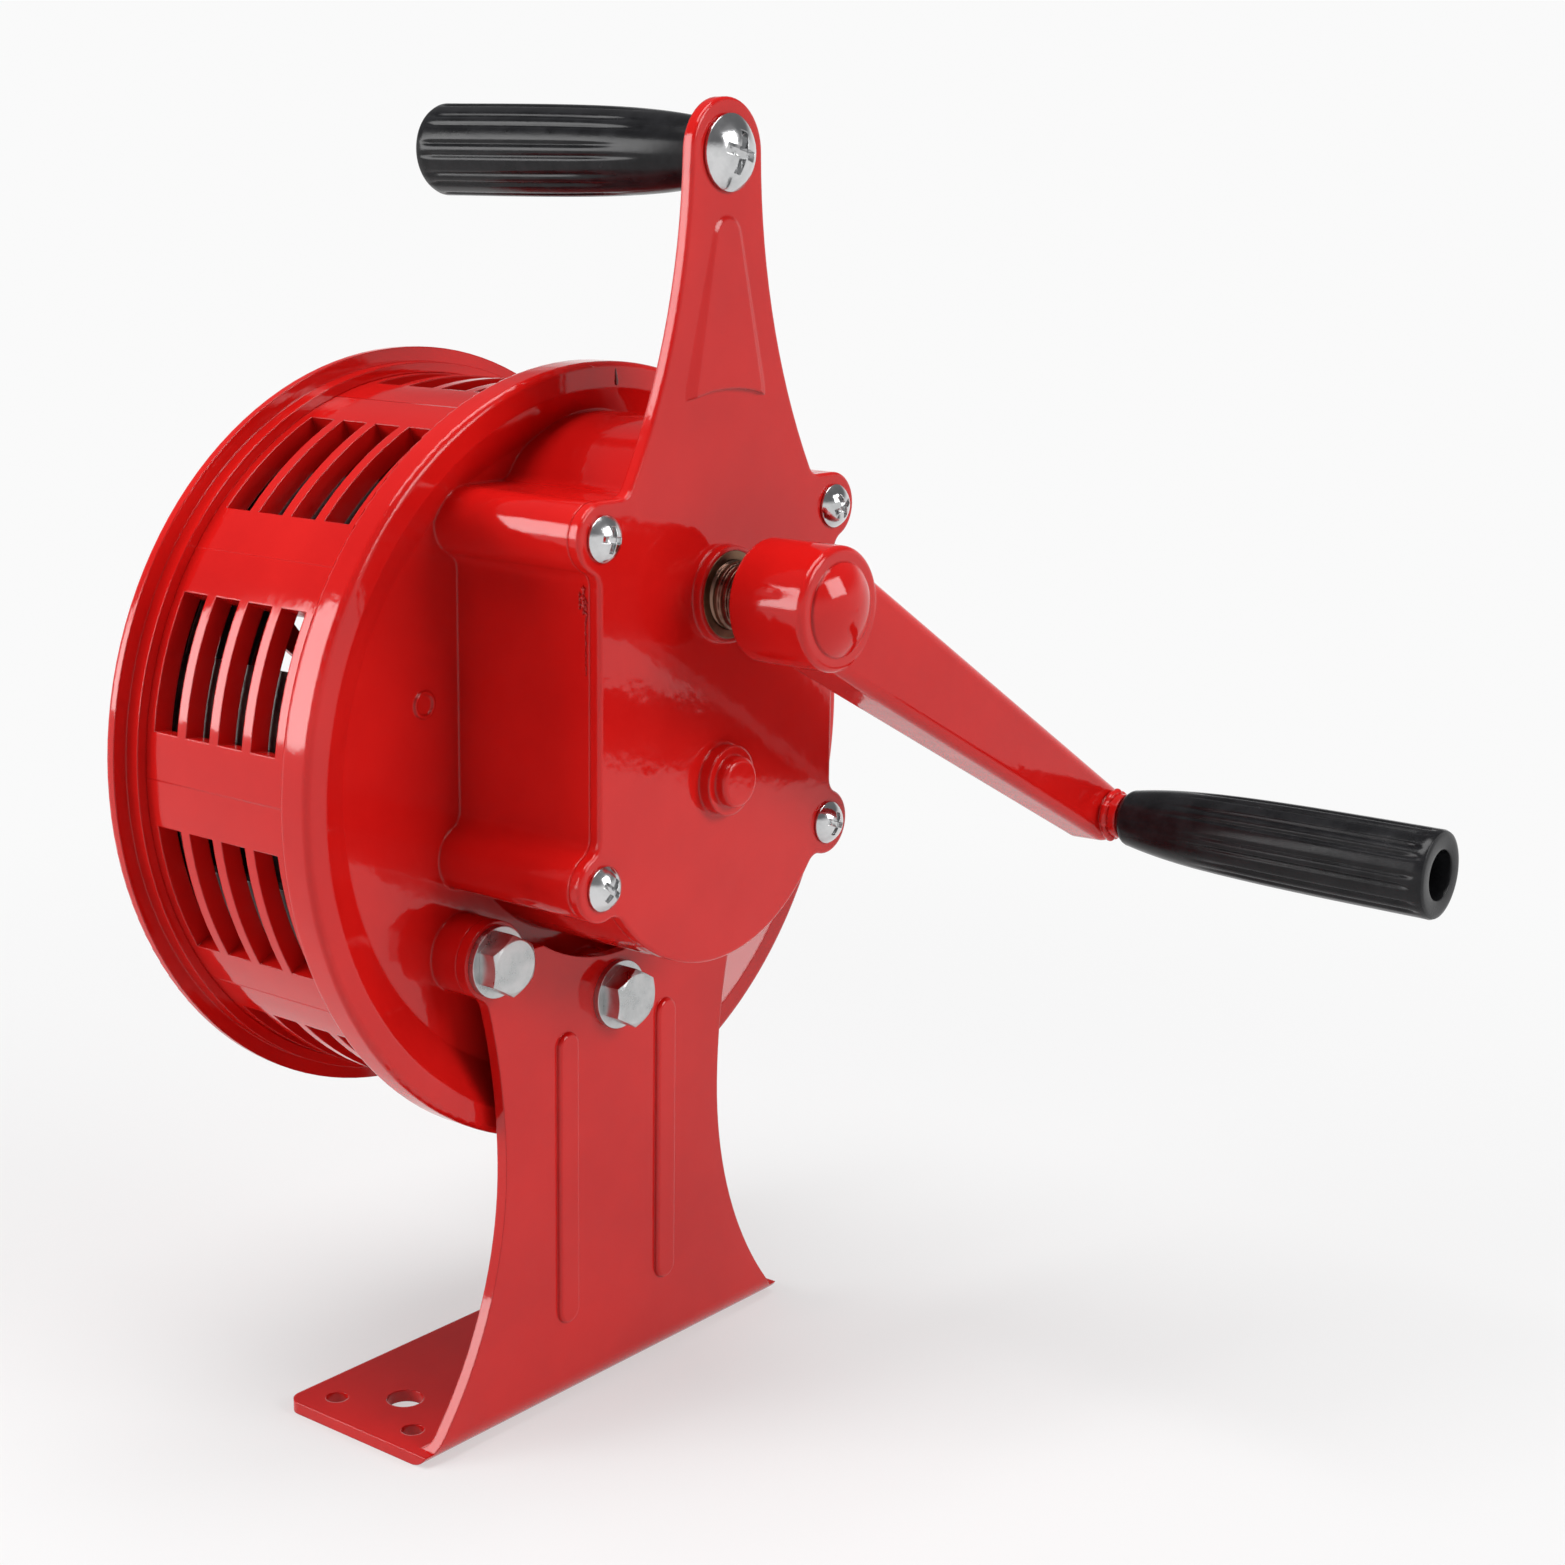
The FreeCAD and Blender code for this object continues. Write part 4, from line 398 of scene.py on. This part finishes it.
def laid_rib(start, end, out, width, height, lumpy, swell=(1.0, 1.0)):
    """Rings of a rib from start to end; out is the unit normal of the surface it lies on.

    Ring i sits at the mix of start and end and drifts a little across. Its points are across * cos *
    width / 2 + out * (sin + 0.05) * height, both times a taper at the ends, a straight swell from first
    to last, and a wandering factor.
    """
    start, end, out = np.array(start, float), np.array(end, float), np.array(out, float)
    across = np.cross(out, end - start)
    across /= np.linalg.norm(across)
    t = np.linspace(0, 1, RIB_RINGS)[:, None]
    section = np.linspace(-0.12 * math.pi, 1.12 * math.pi, 9)[None, :]
    wander = 1 + lumpy * (np.sin(23 * t + start[0]) + 0.7 * np.sin(41 * t + start[2]) + 0.5 * np.sin(71 * t))
    taper = np.clip(np.minimum(t, 1 - t) * 7 + 0.05, 0, 1) ** 0.5
    size = np.clip(taper * (swell[0] + (swell[1] - swell[0]) * t) * wander, 0.04, None)
    side = (0.5 * width * size * np.cos(section))[..., None] * across
    rise = (height * size * (np.sin(section) + 0.05))[..., None] * out
    drift = (0.25 * width * lumpy * np.sin(9 * t + 1.3))[..., None] * across
    return (start + (end - start) * t)[:, None, :] + side + rise + drift


# %% The nick in the rim and the spatter on the gear case
HORN_Z = 160.5
RIM_FLAT_Y = 22.0
GEAR_WALL_X = 42.0
FLANGE_FACE_Y = -46.2


def on_face(radius, degrees, y):
    """Point at a radius and angle about the horn's axis, on the plane y."""
    turn = math.radians(degrees)
    return (radius * math.cos(turn), y, HORN_Z + radius * math.sin(turn))


nick = laid_rib(on_face(88.3, 93.4, RIM_FLAT_Y), on_face(92.3, 93.0, RIM_FLAT_Y), (0, 1, 0), width=1.3,
                height=0.2, lumpy=0.06, swell=(1.25, 0.3))
piece_from_rings("rim_nick", nick, "housing", "red_enamel_cast", sharp_deg=80)

# Each drop starts at y, z on the wall and runs down it: y, z, run, width, height.
drops = [(54.6, 210.2, 6.6, 0.9, 0.5), (53.5, 208.6, 4.0, 0.6, 0.35), (55.4, 207.2, 5.0, 0.6, 0.3),
         (55.2, 203.0, 8.0, 0.4, 0.22), (55.3, 195.6, 5.5, 0.35, 0.18)]
spatter = np.stack([laid_rib((GEAR_WALL_X, y, z), (GEAR_WALL_X, y + 0.1, z - run), (1, 0, 0),
                             width, height, lumpy=0.4) for y, z, run, width, height in drops])
piece_from_rings("case_edge_spatter", spatter, "housing", "red_enamel_cast", sharp_deg=80)

# %% The cracks and sags on the front flange


def flange_ribs(name, rows, height, lumpy):
    """A piece of ribs on the flange's face; a row is radius, degrees, radius, degrees and width."""
    ribs = [laid_rib(on_face(r0, a0, FLANGE_FACE_Y), on_face(r1, a1, FLANGE_FACE_Y), (0, -1, 0),
                     width, height, lumpy) for r0, a0, r1, a1, width in rows]
    piece_from_rings(name, np.stack(ribs), "housing", "red_enamel_sheet", sharp_deg=80)


flange_ribs("flange_cracks", [(72.6, -37.5, 79.5, -39.0, 0.5), (80.6, -39.2, 82.2, -39.4, 0.3),
                              (86.2, -41.0, 89.6, -42.0, 0.4)], height=0.1, lumpy=0.25)
flange_ribs("flange_sags", [(86.4, 13.2, 90.6, 12.9, 0.7), (87.0, 10.4, 90.8, 10.2, 0.6),
                            (86.2, 7.8, 90.4, 7.6, 0.7), (84.0, 3.6, 86.6, 3.5, 0.5),
                            (83.6, 0.8, 86.4, 0.8, 0.5), (84.2, -1.9, 86.0, -1.9, 0.5),
                            (71.5, 128.0, 90.5, 127.2, 0.35)], height=0.16, lumpy=0.2)

# %% [markdown]
# ## Effects shared by several finishes
# Real paint, plastic and plate are never even. Three effects come back in most of the finishes,
# so each is a node group built once: a wavy skin such as sprayed paint or a moulding has, fine
# marks from turning and rubbing, and edges and creases that are slightly rounded, along which the
# red is made a little darker.

# %% Build the shared node groups


def new_group(name, inputs, outputs):
    """An empty node group; inputs are (name, type, value), outputs are (name, type)."""
    group = bpy.data.node_groups.new(name, "ShaderNodeTree")
    for label, kind, value in inputs:
        socket = group.interface.new_socket(name=label, in_out="INPUT", socket_type=kind)
        if value is not None:
            socket.default_value = value
    for label, kind in outputs:
        group.interface.new_socket(name=label, in_out="OUTPUT", socket_type=kind)
    return group, group.nodes.new("NodeGroupInput"), group.nodes.new("NodeGroupOutput")


def add_node(tree, kind, values=None, **settings):
    """A node with its settings and the values of its sockets, given by name or number."""
    node = tree.nodes.new(kind)
    for key, value in settings.items():
        setattr(node, key, value)
    for key, value in (values or {}).items():
        if hasattr(value, "links"):
            tree.links.new(value, node.inputs[key])
        else:
            node.inputs[key].default_value = value
    return node


def arithmetic(tree, operation, first, second=0.0, third=0.0):
    """The output of one sum; each operand is a socket or a number."""
    return add_node(tree, "ShaderNodeMath", {0: first, 1: second, 2: third}, operation=operation).outputs[0]


def remap(tree, value, low, high, out_low, out_high):
    """The output that runs from out_low to out_high as the value runs from low to high."""
    return add_node(tree, "ShaderNodeMapRange", {"Value": value, "From Min": low, "From Max": high,
                                                 "To Min": out_low, "To Max": out_high}).outputs[0]


group, given, result = new_group("wavy_skin", [
    ("Vector", "NodeSocketVector", None), ("Peel Scale", "NodeSocketFloat", 600.0),
    ("Wave Scale", "NodeSocketFloat", 60.0), ("Wave Amount", "NodeSocketFloat", 4.0),
    ("Dust Amount", "NodeSocketFloat", 0.3)],
    [("Height", "NodeSocketFloat"), ("Patches", "NodeSocketFloat"), ("Dust", "NodeSocketFloat")])
peel = add_node(group, "ShaderNodeTexNoise", {"Vector": given.outputs["Vector"], "Detail": 1.5,
                                              "Scale": given.outputs["Peel Scale"]})
wave = add_node(group, "ShaderNodeTexNoise", {"Vector": given.outputs["Vector"], "Detail": 2.0,
                                              "Scale": given.outputs["Wave Scale"]})
patch = add_node(group, "ShaderNodeTexNoise", {"Vector": given.outputs["Vector"], "Detail": 4.0,
                                               "Scale": 28.0})
speck = add_node(group, "ShaderNodeTexVoronoi", {"Vector": given.outputs["Vector"], "Scale": 380.0})
chance = add_node(group, "ShaderNodeTexNoise", {"Vector": given.outputs["Vector"], "Detail": 2.0,
                                                "Scale": 90.0})
nib = remap(group, speck.outputs["Distance"], 0.0, 0.16, 1.0, 0.0)
where = remap(group, chance.outputs["Fac"], 0.62, 0.72, 0.0, 1.0)
nibs = arithmetic(group, "MULTIPLY", nib, where)
dust = arithmetic(group, "MULTIPLY", nibs, given.outputs["Dust Amount"])
swell = arithmetic(group, "MULTIPLY_ADD", wave.outputs["Fac"], given.outputs["Wave Amount"],
                   peel.outputs["Fac"])
group.links.new(arithmetic(group, "ADD", swell, dust), result.inputs["Height"])
group.links.new(patch.outputs["Fac"], result.inputs["Patches"])
group.links.new(dust, result.inputs["Dust"])
wavy_skin = group

group, given, result = new_group("fine_marks", [
    ("Vector", "NodeSocketVector", None), ("Stretch", "NodeSocketVector", (1.0, 1.0, 1.0)),
    ("Scale", "NodeSocketFloat", 900.0)],
    [("Height", "NodeSocketFloat"), ("Smudges", "NodeSocketFloat")])
stretched = add_node(group, "ShaderNodeVectorMath", {0: given.outputs["Vector"], 1: given.outputs["Stretch"]},
                     operation="MULTIPLY")
line_noise = add_node(group, "ShaderNodeTexNoise", {"Vector": stretched.outputs[0], "Detail": 3.0,
                                                    "Scale": given.outputs["Scale"]})
smudge = add_node(group, "ShaderNodeTexNoise", {"Vector": given.outputs["Vector"], "Detail": 5.0,
                                                "Scale": 140.0, "Roughness": 0.6})
group.links.new(line_noise.outputs["Fac"], result.inputs["Height"])
group.links.new(smudge.outputs["Fac"], result.inputs["Smudges"])
fine_marks = group

group, given, result = new_group("soft_edges", [("Radius", "NodeSocketFloat", 0.0006)],
                                 [("Normal", "NodeSocketVector"), ("Edge", "NodeSocketFloat")])
rounded = add_node(group, "ShaderNodeBevel", {"Radius": given.outputs["Radius"]}, samples=6)
true_normal = add_node(group, "ShaderNodeNewGeometry")
agree = add_node(group, "ShaderNodeVectorMath", {0: rounded.outputs[0], 1: true_normal.outputs["Normal"]},
                 operation="DOT_PRODUCT")
group.links.new(rounded.outputs[0], result.inputs["Normal"])
group.links.new(remap(group, agree.outputs["Value"], 0.985, 0.8, 0.0, 1.0), result.inputs["Edge"])
soft_edges = group
print("node groups:", [g.name for g in bpy.data.node_groups])

# %% [markdown]
# ## The finishes
# The red is gloss enamel: a strong red under a clear surface with the faint ripple called orange
# peel. On the castings its waves are shorter and stronger than on the sheet, with more nibs under
# the paint. The grips are glossy black mouldings, the fasteners zinc plate, the crank's shaft brown
# bronze in bushes of oiled bronze, the gears, pins and rotor shaft machined steel, and the rotor
# cast aluminium, given a far darker grey than bare metal as painted shade for the inside of the
# drum. Painted pictures could carry all this too, but noise worked out from the object's own
# coordinates has no seams, and one function for each family of finishes keeps them alike.

# %% Start a finish


def new_finish(name, edge_radius):
    """A material with its shader, the object's own coordinates, and soft edges for its relief to lie over."""
    material = bpy.data.materials.new(name)
    material.use_nodes = True
    tree = material.node_tree
    shader = tree.nodes["Principled BSDF"]
    spot = add_node(tree, "ShaderNodeTexCoord").outputs["Object"]
    edges = add_node(tree, "ShaderNodeGroup", {"Radius": edge_radius}, node_tree=soft_edges)
    return material, tree, shader, spot, edges


def colour_between(tree, factor, first, second):
    """A mix of two colours; each is a socket or three numbers."""
    first, second = [c if hasattr(c, "links") else (*c, 1.0) for c in (first, second)]
    return add_node(tree, "ShaderNodeMix", {0: factor, 6: first, 7: second}, data_type="RGBA").outputs[2]


def bump(tree, shader, height, distance, edges):
    """Gives the shader a relief over its soft edges."""
    relief = add_node(tree, "ShaderNodeBump", {"Height": height, "Distance": distance, "Strength": 1.0,
                                               "Normal": edges.outputs["Normal"]})
    tree.links.new(relief.outputs["Normal"], shader.inputs["Normal"])


# %% Red enamel
THIN_RED = (0.53, 0.0065, 0.0055)
FULL_RED = (0.6, 0.0095, 0.0075)
EDGE_RED = (0.42, 0.006, 0.006)
DUSTY_RED = (0.3, 0.02, 0.02)


def red_enamel(name, peel_scale, wave_scale, wave_amount, dust_amount, distance, edge_radius, depth=1.0):
    """Gloss enamel; depth below 1 darkens the red, as painted shade for the nick and the cracks."""
    material, tree, shader, spot, edges = new_finish(name, edge_radius)
    skin = add_node(tree, "ShaderNodeGroup", {
        "Vector": spot, "Peel Scale": peel_scale, "Wave Scale": wave_scale, "Wave Amount": wave_amount,
        "Dust Amount": dust_amount}, node_tree=wavy_skin)
    coat = remap(tree, skin.outputs["Patches"], 0.35, 0.65, 0.0, 1.0)
    paint = colour_between(tree, coat, [depth * c for c in THIN_RED], [depth * c for c in FULL_RED])
    # Along edges and in creases the red goes up to a third of the way towards a darker red.
    edge_darkening = arithmetic(tree, "MULTIPLY", edges.outputs["Edge"], 0.35)
    dusty = arithmetic(tree, "MULTIPLY", skin.outputs["Dust"], 0.25)
    final = colour_between(tree, dusty, colour_between(tree, edge_darkening, paint, EDGE_RED), DUSTY_RED)
    tree.links.new(final, shader.inputs["Base Color"])
    tree.links.new(remap(tree, skin.outputs["Patches"], 0.3, 0.7, 0.055, 0.1), shader.inputs["Roughness"])
    shader.inputs["IOR"].default_value = 1.5
    shader.inputs["Specular IOR Level"].default_value = 0.38
    bump(tree, shader, skin.outputs["Height"], distance, edges)
    return material


finishes = {
    "red_enamel_sheet": red_enamel("red_enamel_sheet", 420.0, 60.0, 4.0, 0.6, 0.00002, 0.0005),
    "red_enamel_cast": red_enamel("red_enamel_cast", 380.0, 105.0, 5.0, 1.0, 0.000028, 0.0009),
    # The third enamel is the same red at a fifth of its strength: painted shade for the nick and the cracks.
    "red_enamel_pooled": red_enamel("red_enamel_pooled", 500.0, 90.0, 2.0, 0.2, 0.00002, 0.0001, depth=0.2)}
print("enamels:", list(finishes))

# %% Black plastic
material, tree, shader, spot, edges = new_finish("black_plastic", 0.0004)
skin = add_node(tree, "ShaderNodeGroup", {"Vector": spot, "Peel Scale": 900.0, "Wave Scale": 120.0,
                                          "Wave Amount": 2.0}, node_tree=wavy_skin)
marks = add_node(tree, "ShaderNodeGroup", {"Vector": spot, "Stretch": (1.0, 0.08, 1.0), "Scale": 1500.0},
                 node_tree=fine_marks)
rubbed = remap(tree, marks.outputs["Smudges"], 0.4, 0.62, 0.0, 1.0)
tree.links.new(colour_between(tree, rubbed, (0.008, 0.008, 0.009), (0.014, 0.014, 0.0155)),
               shader.inputs["Base Color"])
tree.links.new(remap(tree, marks.outputs["Smudges"], 0.3, 0.7, 0.17, 0.28), shader.inputs["Roughness"])
shader.inputs["IOR"].default_value = 1.5
shader.inputs["Specular IOR Level"].default_value = 0.2
relief = arithmetic(tree, "MULTIPLY_ADD", marks.outputs["Height"], 0.8, skin.outputs["Height"])
bump(tree, shader, relief, 0.000012, edges)
finishes["black_plastic"] = material

# %% Metals


def bare_metal(name, dark, light, roughness, stretch, scale, distance, edge_radius=0.0003):
    """Polished or machined metal: two close colours in smudges, and fine marks along one direction."""
    material, tree, shader, spot, edges = new_finish(name, edge_radius)
    marks = add_node(tree, "ShaderNodeGroup", {"Vector": spot, "Stretch": stretch, "Scale": scale},
                     node_tree=fine_marks)
    factor = remap(tree, marks.outputs["Smudges"], 0.38, 0.62, 0.0, 1.0)
    tree.links.new(colour_between(tree, factor, dark, light), shader.inputs["Base Color"])
    shader.inputs["Metallic"].default_value = 1.0
    tree.links.new(remap(tree, marks.outputs["Smudges"], 0.35, 0.65, *roughness), shader.inputs["Roughness"])
    bump(tree, shader, marks.outputs["Height"], distance, edges)
    return material


EVEN = (1.0, 1.0, 1.0)
# Each metal has its dark and its light colour, its roughness from and to, the stretch and the scale of
# its marks, their relief, and the radius of its edges where that isn't 0.3 mm.
metals = {
    "bright_zinc": ((0.52, 0.525, 0.53), (0.66, 0.66, 0.665), (0.09, 0.22), EVEN, 1100.0, 0.00002),
    "satin_zinc": ((0.44, 0.45, 0.45), (0.58, 0.58, 0.58), (0.24, 0.4), EVEN, 1300.0, 0.00003),
    "dark_bronze": ((0.11, 0.06, 0.045), (0.22, 0.125, 0.09), (0.2, 0.38), (0.4, 6.0, 0.4), 500.0, 0.00003),
    "oiled_bronze": ((0.14, 0.082, 0.05), (0.24, 0.15, 0.09), (0.28, 0.46), EVEN, 1600.0, 0.00003),
    "gear_steel": ((0.36, 0.36, 0.37), (0.48, 0.48, 0.49), (0.22, 0.4), (1.0, 8.0, 1.0), 400.0, 0.00002),
    # The rotor's aluminium is far darker than bare metal: painted shade for the shut-in inside of the drum.
    "cast_aluminium": ((0.1, 0.1, 0.1), (0.19, 0.19, 0.185), (0.34, 0.56), EVEN, 700.0, 0.00008, 0.0005)}
for name, recipe in metals.items():
    finishes[name] = bare_metal(name, *recipe)
print("finishes:", sorted(finishes))

# %% [markdown]
# ## Dressing the solids and the new pieces
# Every solid names the finish it wants in the imported record, and every new piece was given one
# when it was made, so one loop puts the materials on. The bolts and washers of the bracket have
# the same plating as the screws but a duller skin, and the nick and the cracks get an enamel of a
# much darker red: painted shade, for the shadow that lies in them.

# %% Put the finishes on
# The nick and the cracks take the darkened red, painted shade.
own_finish = {"bracket_bolts": "satin_zinc", "bracket_washers": "satin_zinc",
              "rim_nick": "red_enamel_pooled", "flange_cracks": "red_enamel_pooled"}
dressed = [thing for thing in bpy.context.scene.objects if thing.type == "MESH" and thing.name in slot_of_node]
for piece in dressed:
    material = finishes[own_finish.get(piece.name, slot_of_node[piece.name])]
    if len(piece.material_slots) == 0:
        piece.data.materials.append(material)
    for place in piece.material_slots:
        place.material = material
print("dressed:", len(dressed))

# %% [markdown]
# ## The studio
# The siren stands on a wide pale floor. A large soft light stands on the horn's side, where it
# lights the drum and leaves the gear case in the drum's shadow, a second one stands on the crank's
# side, and a third hangs overhead. The room is pale up to eye level and darker above, so that metal
# and gloss paint have something to show. The levels are set so that a colour comes out about as it
# was written.
#
# The white backdrop is not made with more light. To rays from the camera, and to mirrored ones, the
# floor turns by degrees into a plain white sheet with distance, and near the siren it stays real
# enough to hold the shadow.

# %% Tell what the camera and mirrored rays see from what soft light sees


def seen_directly(tree):
    """1 for rays from the camera, off gloss or through something clear, and 0 for soft light."""
    path = add_node(tree, "ShaderNodeLightPath")
    mirrored = arithmetic(tree, "MAXIMUM", path.outputs["Is Glossy Ray"], path.outputs["Is Transmission Ray"])
    return arithmetic(tree, "MAXIMUM", path.outputs["Is Camera Ray"], mirrored)


# %% Floor
BACKDROP = (0.955, 0.955, 0.955, 1.0)
FLOOR_REACH = 12.0
FLOOR_LINES = 41

line = np.linspace(-1, 1, FLOOR_LINES)
line = line * np.abs(line) * FLOOR_REACH
grid_x, grid_y = np.meshgrid(line, line, indexing="ij")
floor_points = np.stack([grid_x, grid_y, np.zeros_like(grid_x)], axis=-1).reshape(-1, 3)
index = np.arange(FLOOR_LINES ** 2).reshape(FLOOR_LINES, FLOOR_LINES)
floor_faces = np.stack([index[:-1, :-1], index[1:, :-1], index[1:, 1:], index[:-1, 1:]], axis=-1)
floor_mesh = bpy.data.meshes.new("studio_floor")
floor_mesh.from_pydata(floor_points.tolist(), [], floor_faces.reshape(-1, 4).tolist())
floor = bpy.data.objects.new("studio_floor", floor_mesh)
bpy.context.scene.collection.objects.link(floor)

floor_paint = bpy.data.materials.new("studio_floor")
floor_paint.use_nodes = True
tree = floor_paint.node_tree
shader = tree.nodes["Principled BSDF"]
shader.inputs["Base Color"].default_value = (0.72, 0.72, 0.72, 1.0)
shader.inputs["Roughness"].default_value = 0.9
shader.inputs["Specular IOR Level"].default_value = 0.1
sheet = add_node(tree, "ShaderNodeEmission", {"Color": BACKDROP, "Strength": 1.0})
spot = add_node(tree, "ShaderNodeTexCoord").outputs["Object"]
from_siren = add_node(tree, "ShaderNodeVectorMath", {0: spot}, operation="LENGTH").outputs["Value"]
far = add_node(tree, "ShaderNodeMapRange", {"Value": from_siren, "From Min": 0.08, "From Max": 0.6,
                                            "To Min": 0.5, "To Max": 1.0},
               interpolation_type="SMOOTHSTEP").outputs[0]
blend = add_node(tree, "ShaderNodeMixShader", {0: arithmetic(tree, "MULTIPLY", far, seen_directly(tree)),
                                               1: shader.outputs[0], 2: sheet.outputs[0]})
tree.links.new(blend.outputs[0], tree.nodes["Material Output"].inputs["Surface"])
floor_mesh.materials.append(floor_paint)
print("floor faces:", len(floor_mesh.polygons))

# %% Room
world = bpy.data.worlds.new("pale_room")
bpy.context.scene.world = world
world.use_nodes = True
tree = world.node_tree
direction = add_node(tree, "ShaderNodeSeparateXYZ",
                     {0: add_node(tree, "ShaderNodeTexCoord").outputs["Generated"]}).outputs["Z"]
above = add_node(tree, "ShaderNodeMapRange", {"Value": direction, "From Min": 0.12, "From Max": 0.4},
                 interpolation_type="SMOOTHSTEP").outputs[0]
from_camera = add_node(tree, "ShaderNodeLightPath").outputs["Is Camera Ray"]
mirrored_above = arithmetic(tree, "MULTIPLY", above, arithmetic(tree, "SUBTRACT", 1.0, from_camera))
walls = add_node(tree, "ShaderNodeMix", {0: mirrored_above, 6: BACKDROP, 7: (0.2, 0.2, 0.205, 1.0)},
                 data_type="RGBA")
room = add_node(tree, "ShaderNodeMix", {0: seen_directly(tree), 6: (0.22, 0.22, 0.225, 1.0),
                                        7: walls.outputs[2]}, data_type="RGBA")
tree.links.new(room.outputs[2], tree.nodes["Background"].inputs["Color"])
tree.nodes["Background"].inputs["Strength"].default_value = 1.0
print("room:", world.name)

# %% Lamps


def soft_lamp(name, place, aim, width, height, watts):
    """A rectangular soft light at a place, facing a point."""
    data = bpy.data.lights.new(name, "AREA")
    data.shape = "RECTANGLE"
    data.size, data.size_y, data.energy = width, height, watts
    lamp = bpy.data.objects.new(name, data)
    lamp.location = place
    lamp.rotation_euler = (Vector(aim) - Vector(place)).to_track_quat("-Z", "Y").to_euler()
    bpy.context.scene.collection.objects.link(lamp)


middle = (solid_box[0] + solid_box[1]) / 2
soft_lamp("key_light", (1.5, -1.25, 0.72), middle, width=1.0, height=1.1, watts=26.0)
soft_lamp("crank_side_light", (-0.55, 1.9, 1.15), middle, width=1.1, height=0.9, watts=26.0)
soft_lamp("top_light", (0.2, 0.0, 1.7), middle, width=0.7, height=1.3, watts=22.0)

# %% [markdown]
# ## The camera
# The camera stands where the photograph was taken from, on the crank's side of the siren and a
# little above it. It could be placed by eye, but its place and its slight roll were worked out from
# known points of the siren in the picture, so that both show it in the same way. Only the lens is
# longer than the one found there, so that the siren fills the square picture.

# %% Set the camera
CAMERA_AZIMUTH = math.radians(128.02)
CAMERA_ELEVATION = math.radians(13.16)
CAMERA_ROLL = math.radians(0.93)
CAMERA_DISTANCE = 0.62797
LOOK_ASIDE = 0.03975
LOOK_AT = Vector((0.0, 0.027, 0.1545))
LENS_ENLARGEMENT = 1.36
IMAGE_SIDE = 1565
FOCAL_PIXELS = 1920.84
SENSOR_WIDTH = 36.0

back = Vector((math.sin(CAMERA_AZIMUTH) * math.cos(CAMERA_ELEVATION),
               -math.cos(CAMERA_AZIMUTH) * math.cos(CAMERA_ELEVATION), math.sin(CAMERA_ELEVATION)))
right = (-back).cross(Vector((0, 0, 1))).normalized()
up = right.cross(-back)
rolled_right = math.cos(CAMERA_ROLL) * right + math.sin(CAMERA_ROLL) * up
rolled_up = -math.sin(CAMERA_ROLL) * right + math.cos(CAMERA_ROLL) * up
place = LOOK_AT + rolled_right * LOOK_ASIDE + back * CAMERA_DISTANCE

camera_data = bpy.data.cameras.new("camera")
camera_data.sensor_width = SENSOR_WIDTH
camera_data.lens = SENSOR_WIDTH * FOCAL_PIXELS / IMAGE_SIDE * LENS_ENLARGEMENT
camera_data.clip_start, camera_data.clip_end = 0.01, 50.0
camera = bpy.data.objects.new("camera", camera_data)
facing = Matrix((rolled_right, rolled_up, back)).transposed().to_4x4()
camera.matrix_world = Matrix.Translation(place) @ facing
bpy.context.scene.collection.objects.link(camera)
bpy.context.scene.camera = camera
bpy.context.scene.view_settings.view_transform = "Standard"
print("camera at", [round(v, 4) for v in place], "lens", round(camera_data.lens, 2))
